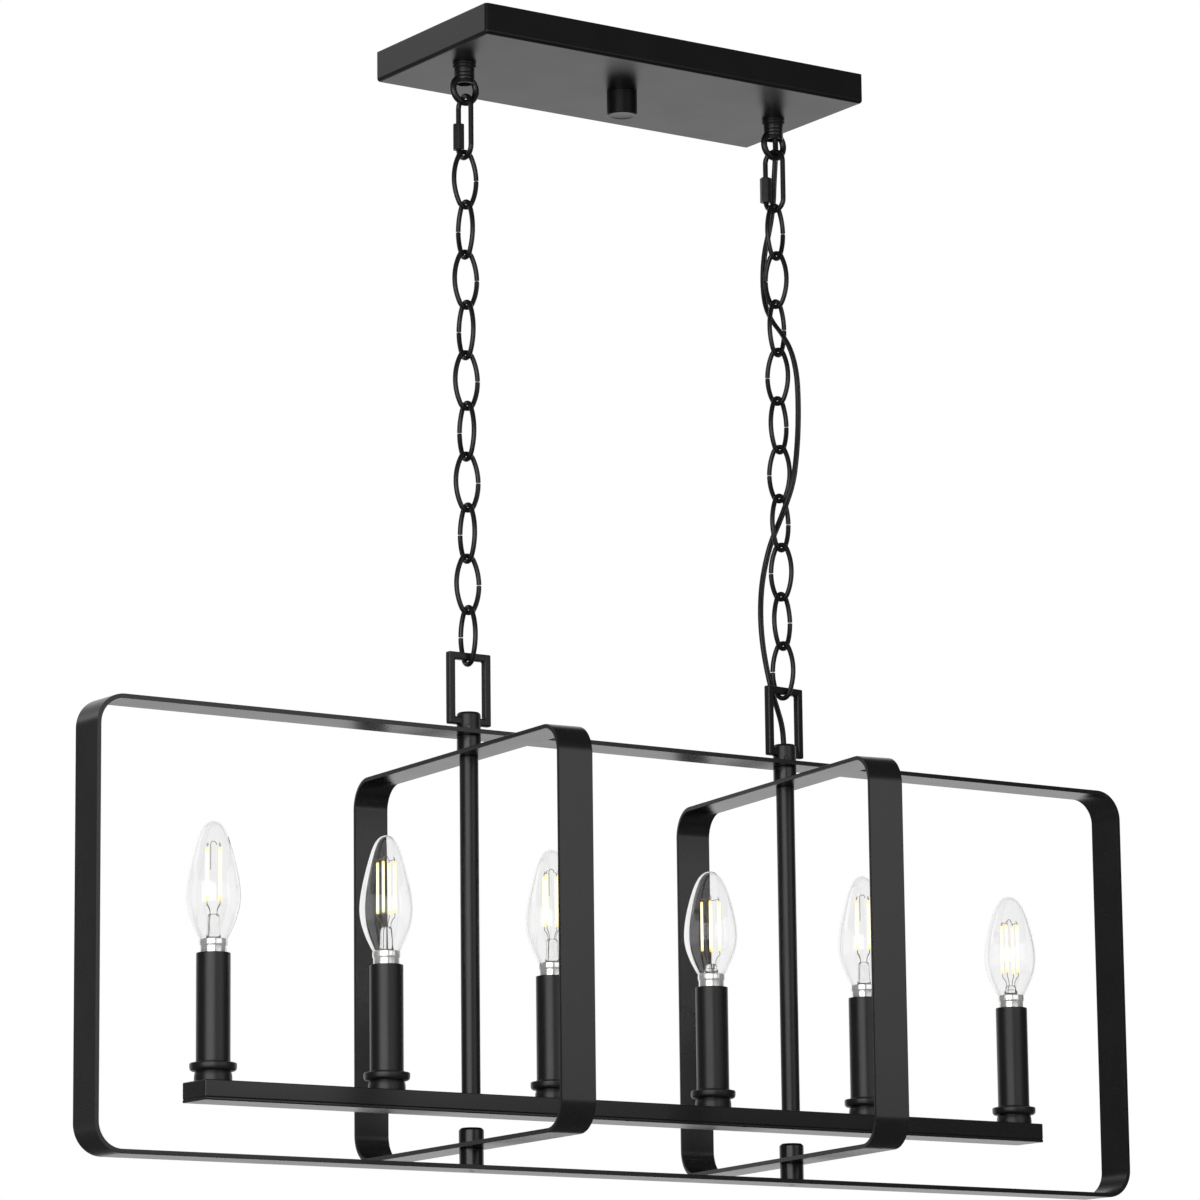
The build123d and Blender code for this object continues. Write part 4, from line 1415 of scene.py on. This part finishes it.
@dataclass
class Candle:
    """One candle: cup, sleeve, socket and lit bulb, turned on the upright axis."""

    numbers: tuple[int, ...] = (1, 2, 3, 5)
    lit: str = "lit_phosphor_stick"
    sleeve: float = 11.0
    wall: float = 1.0
    skirt: float = 8.6
    rim: float = 9.2
    glass_width: float = 35.0
    glass_widest: float = 27.5
    glass_height: float = 76.2
    glass_slimming: float = 0.85
    glass_wall: float = 0.6
    filament_low: float = SKIRT_TOP + 25.0
    filament_length: float = 33.5
    filament_circle: float = 5.9
    filament_turn: float = 15.0
    lead_radius: float = 0.22
    # Each bulb stands where its screw thread happened to stop
    bulb_turns: tuple[float, ...] = (0.0, 24.0, 8.0, 38.0, -6.0, 15.0)

    def build(self) -> None:
        """Model each piece once and set a copy on every candle's axis."""
        lit = LitPhosphor(self.lit, self.filament_low, self.filament_low + self.filament_length)
        patterns = (
            (self.cup(), Slot.STEEL, SLEEVE_COAT, "candle_cups"),
            (self.tube(), Slot.SLEEVE, SLEEVE_COAT, "candle_sleeves"),
            (self.socket(), Slot.RESIN, SOCKET_RESIN, "lamp_sockets"),
            (self.base(), Slot.NICKEL, NICKEL_WITH_PAINTED_REFLECTION, "bulb_bases"),
            (self.glass(), Slot.GLASS, CLEAR_GLASS, "bulb_glass"),
            (self.sticks(), Slot.FILAMENT, lit, "bulb_filaments"),
            (self.leads(), Slot.FILAMENT, LEAD_METAL, "bulb_filaments"),
            (self.mount(), Slot.GLASS, CLEAR_GLASS, "bulb_filaments"),
        )
        for number in self.numbers:
            for pattern, slot, finish, node in patterns:
                copied = place(copy_of(pattern, f"{pattern.name}_{number}"),
                               CANDLE_XS[number - 1], self.bulb_turns[number - 1])
                hand_over(copied, Body.FIXTURE, slot, finish, node)
        for pattern, *_ in patterns:
            bpy.data.objects.remove(pattern)

    def cup(self) -> Piece:
        """Neck with a soft waist, an undercut flange and a recess for the sleeve.

        Returns:
            The cup.
        """
        base, top = BAR_TOP, CUP_TOP
        profile = [(NIPPLE_BORE, base), (12.2, base), (12.2, base + 2.5), (12.0, base + 4.6),
                   (11.6, base + 5.9), (11.5, base + 6.4), (12.6, base + 6.4), (13.9, base + 6.8),
                   (14.7, base + 7.5), (15.1, base + 8.5), (15.15, base + 10.8),
                   (15.0, top - 0.3), (14.5, top), (11.2, top), (11.2, top - 2),
                   (NIPPLE_BORE, top - 2), (NIPPLE_BORE, base)]
        return soften(lathe("candle_cup", profile, 72), 0.15)

    def tube(self) -> Piece:
        """Candle sleeve with a slightly rolled mouth.

        Returns:
            The sleeve.
        """
        low, r = CUP_TOP - 2, self.sleeve
        profile = [(r - self.wall, low), (r, low), (r + 0.1, CUP_TOP - 0.1), (r + 0.45, CUP_TOP),
                   (r + 0.35, CUP_TOP + 0.5), (r, CUP_TOP + 1.6), (r, SLEEVE_TOP - 0.3),
                   (r - 0.3, SLEEVE_TOP),
                   (r - self.wall + 0.1, SLEEVE_TOP), (r - self.wall, SLEEVE_TOP - 0.3),
                   (r - self.wall, low)]
        return soften(lathe("candle_sleeve", profile, 72), 0.0)

    def socket(self) -> Piece:
        """Resin socket with a stepped mouth inside the sleeve.

        Returns:
            The socket.
        """
        top = SLEEVE_TOP - 1.2
        low = top - 62
        profile = [(NIPPLE_BORE, low), (9.25, low), (9.25, top - 0.6), (8.8, top), (6.9, top),
                   (6.25, top - 0.6), (6.25, low + 14.3), (0, low + 14.3), (0, low + 6.3),
                   (NIPPLE_BORE, low + 6.3), (NIPPLE_BORE, low)]
        return soften(lathe("lamp_socket", profile, 48), 0.0)

    def base(self) -> Piece:
        """Plated skirt with a beaded rim, screw shell and contact.

        Returns:
            The base.
        """
        skirt = SLEEVE_TOP - 0.9
        shell = skirt - 10.5
        rim = SKIRT_TOP
        profile = [(0, shell - 1.4), (2.6, shell - 1.4), (3.0, shell - 1.0), (3.0, shell),
                   (4.6, shell)]
        for turn in range(4):
            z = shell + 0.9 + turn * 2.3
            profile += [(5.35, z), (5.9, z + 0.8), (5.9, z + 1.1), (5.35, z + 1.9)]
        profile += [(5.4, skirt - 0.1), (self.skirt - 0.2, skirt), (self.skirt, skirt + 0.4),
                    (self.skirt, rim - 4.7), (self.rim - 0.15, rim - 4.0), (self.rim, rim - 3.5),
                    (self.rim, rim - 0.5), (self.rim - 0.3, rim), (8.3, rim),
                    (8.3, rim - 4.15), (0, rim - 4.15)]
        return soften(lathe("bulb_base", profile, 64), 0.0)

    def outline(self) -> Profile:
        """Outline of the glass above the skirt, from its foot to its tip.

        Returns:
            Its (radius, height) points in mm.
        """
        wide, belly = self.glass_width / 2, self.glass_widest
        line = [(8.0, -4.0), (8.0, -0.2)]
        for step in range(15):
            down = 1 - step / 15
            line.append((wide * (1 - 0.6 * down ** 2 + 0.12 * down ** 3),
                         belly - (belly - 0.4) * down))
        for step in range(33):
            up = math.sin(math.pi / 2 * step / 32)
            ogive = math.cos(math.pi / 2 * step / 32) * (
                1 - self.glass_slimming * up ** 2 * (1 - up))
            line.append((wide * ogive if step < 32 else 0.0,
                         belly + (self.glass_height - belly) * up))
        return [(radius, SKIRT_TOP + height) for radius, height in line]

    def glass(self) -> Piece:
        """Blown envelope with an even wall, open at its neck.

        Returns:
            The glass.
        """
        outer = self.outline()
        inner = []
        for before, (radius, height), after in zip(outer, outer[1:], outer[2:]):
            along = Vector((after[0] - before[0], after[1] - before[1])).normalized()
            inner.append((max(radius - along.y * self.glass_wall, 0.4),
                          height + along.x * self.glass_wall))
        foot = (outer[0][0] - self.glass_wall, outer[0][1])
        tip = (0.0, outer[-1][1] - self.glass_wall)
        line = [*outer, tip, *reversed(inner), foot, outer[0]]
        return soften(lathe("bulb_envelope", line, 96), 0.0)

    def corners(self) -> list[tuple[float, float]]:
        """Places of the four filament sticks, in mm off the candle's axis."""
        turns = [math.radians(self.filament_turn + 90 * quarter) for quarter in range(4)]
        return [(self.filament_circle * math.cos(turn), self.filament_circle * math.sin(turn))
                for turn in turns]

    def sticks(self) -> Piece:
        """Four filament sticks at the corners of a square.

        Returns:
            The sticks in one piece.
        """
        low, high = self.filament_low, self.filament_low + self.filament_length
        profile = [(0, low), (0.6, low), (0.9, low + 0.5), (0.9, high - 0.5), (0.6, high),
                   (0, high)]
        parts = [place(lathe("stick", profile, 12), x, y=y) for x, y in self.corners()]
        return soften(joined("filament_sticks", parts), 0.0)

    def leads(self) -> Piece:
        """Lead wires: a cross above and below the sticks, and two down to the stem.

        Returns:
            The wires in one piece.
        """
        low, high = self.filament_low, self.filament_low + self.filament_length
        corners = self.corners()
        routes: list[tuple[Point, ...]] = []
        for x, y in corners:
            routes.append(((x, y, high - 0.3), (x, y, high + 2.0), (x * 0.8, y * 0.8, high + 2.9)))
            routes.append(((x, y, low + 0.3), (x, y, low - 2.6), (x * 0.75, y * 0.75, low - 4.2),
                           (x * 0.55, y * 0.55, low - 6.5), (x * 0.5, y * 0.5, low - 10.5)))
        for (x0, y0), (x1, y1) in (corners[0::3], corners[1:3]):
            routes.append(((x0, y0, high + 1.5), (x1, y1, high + 1.5)))
        hook = [(2.2 * math.cos(a), 0.0, high + 2.2 + 2.2 * math.sin(a))
                for a in (math.radians(15 * i) for i in range(13))]
        routes.append((*hook, (-2.2, 0.0, high - 14.0)))
        for way in (-1, 1):
            routes.append(((way * 2.6, 0, low - 10.0), (way * 3.0, 0, low - 16.0),
                           (way * 3.4, 0, SKIRT_TOP - 3.5)))
        parts = [piece_of("lead", drawn_mesh("lead", [[c * MM for c in spot] for spot in route],
                                             self.lead_radius, 1)) for route in routes]
        return soften(joined("filament_leads", parts), 0.0)

    def mount(self) -> Piece:
        """Flared glass stem that carries the leads, pressed flat-topped.

        Returns:
            The stem.
        """
        foot, head = SKIRT_TOP - 3.9, self.filament_low - 9.0
        profile = [(0, foot + 0.8), (4.4, foot + 0.8), (6.9, foot), (7.2, foot + 0.6),
                   (5.2, foot + 3.6), (4.4, foot + 7.5), (3.9, head - 3.0), (3.6, head - 0.8),
                   (2.9, head), (0, head + 0.2)]
        return soften(lathe("bulb_stem", profile, 36), 0.0)


# ---------------------------------------------------------------- small carried-over parts


@dataclass
class HiddenParts:
    """CAD nodes whose shape is right: fixing parts inside the canopy, stems and bar."""

    zinc: tuple[str, ...] = ("crossbar", "crossbar_nipple", "crossbar_locknut", "loop_washers",
                             "loop_locknuts", "stem_upper_nipples", "stem_lower_nipples",
                             "bar_locknuts", "candle_nipples")
    black: tuple[str, ...] = ("grub_screw_left", "grub_screw_right")
    green: tuple[str, ...] = ("ground_screw",)

    def build(self) -> None:
        """Give each node its finish."""
        for names, finish in ((self.zinc, ZINC_PLATE), (self.black, SLEEVE_COAT),
                              (self.green, GREEN_PAINT)):
            for name in names:
                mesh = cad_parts[name].data
                mesh.materials.clear()
                mesh.materials.append(finish.material())
                log.info("node %s dressed", name)


def main() -> None:
    """Build the scene's parts in order."""
    logging.basicConfig(level=logging.INFO, format="%(name)s: %(message)s")
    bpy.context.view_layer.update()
    StudioCamera().build()
    # The fourth and sixth lamps have shorter bulbs, as bulbs of two makes do
    short = Candle(numbers=(4, 6), lit="lit_phosphor_stick_low", glass_width=36.3,
                   glass_height=70.4, glass_slimming=0.5, glass_widest=26.0,
                   filament_low=SKIRT_TOP + 16.0)
    for part in (SupplyCords(), Canopy(), CanopyLoop(), QuickLink(), Chain(), HangingLoop(),
                 Frames(), CandleBar(), Candle(), short, HiddenParts(), Studio()):
        part.build()
        log.info("%s done", type(part).__name__)
    settle()


if __name__ == "__main__":
    main()
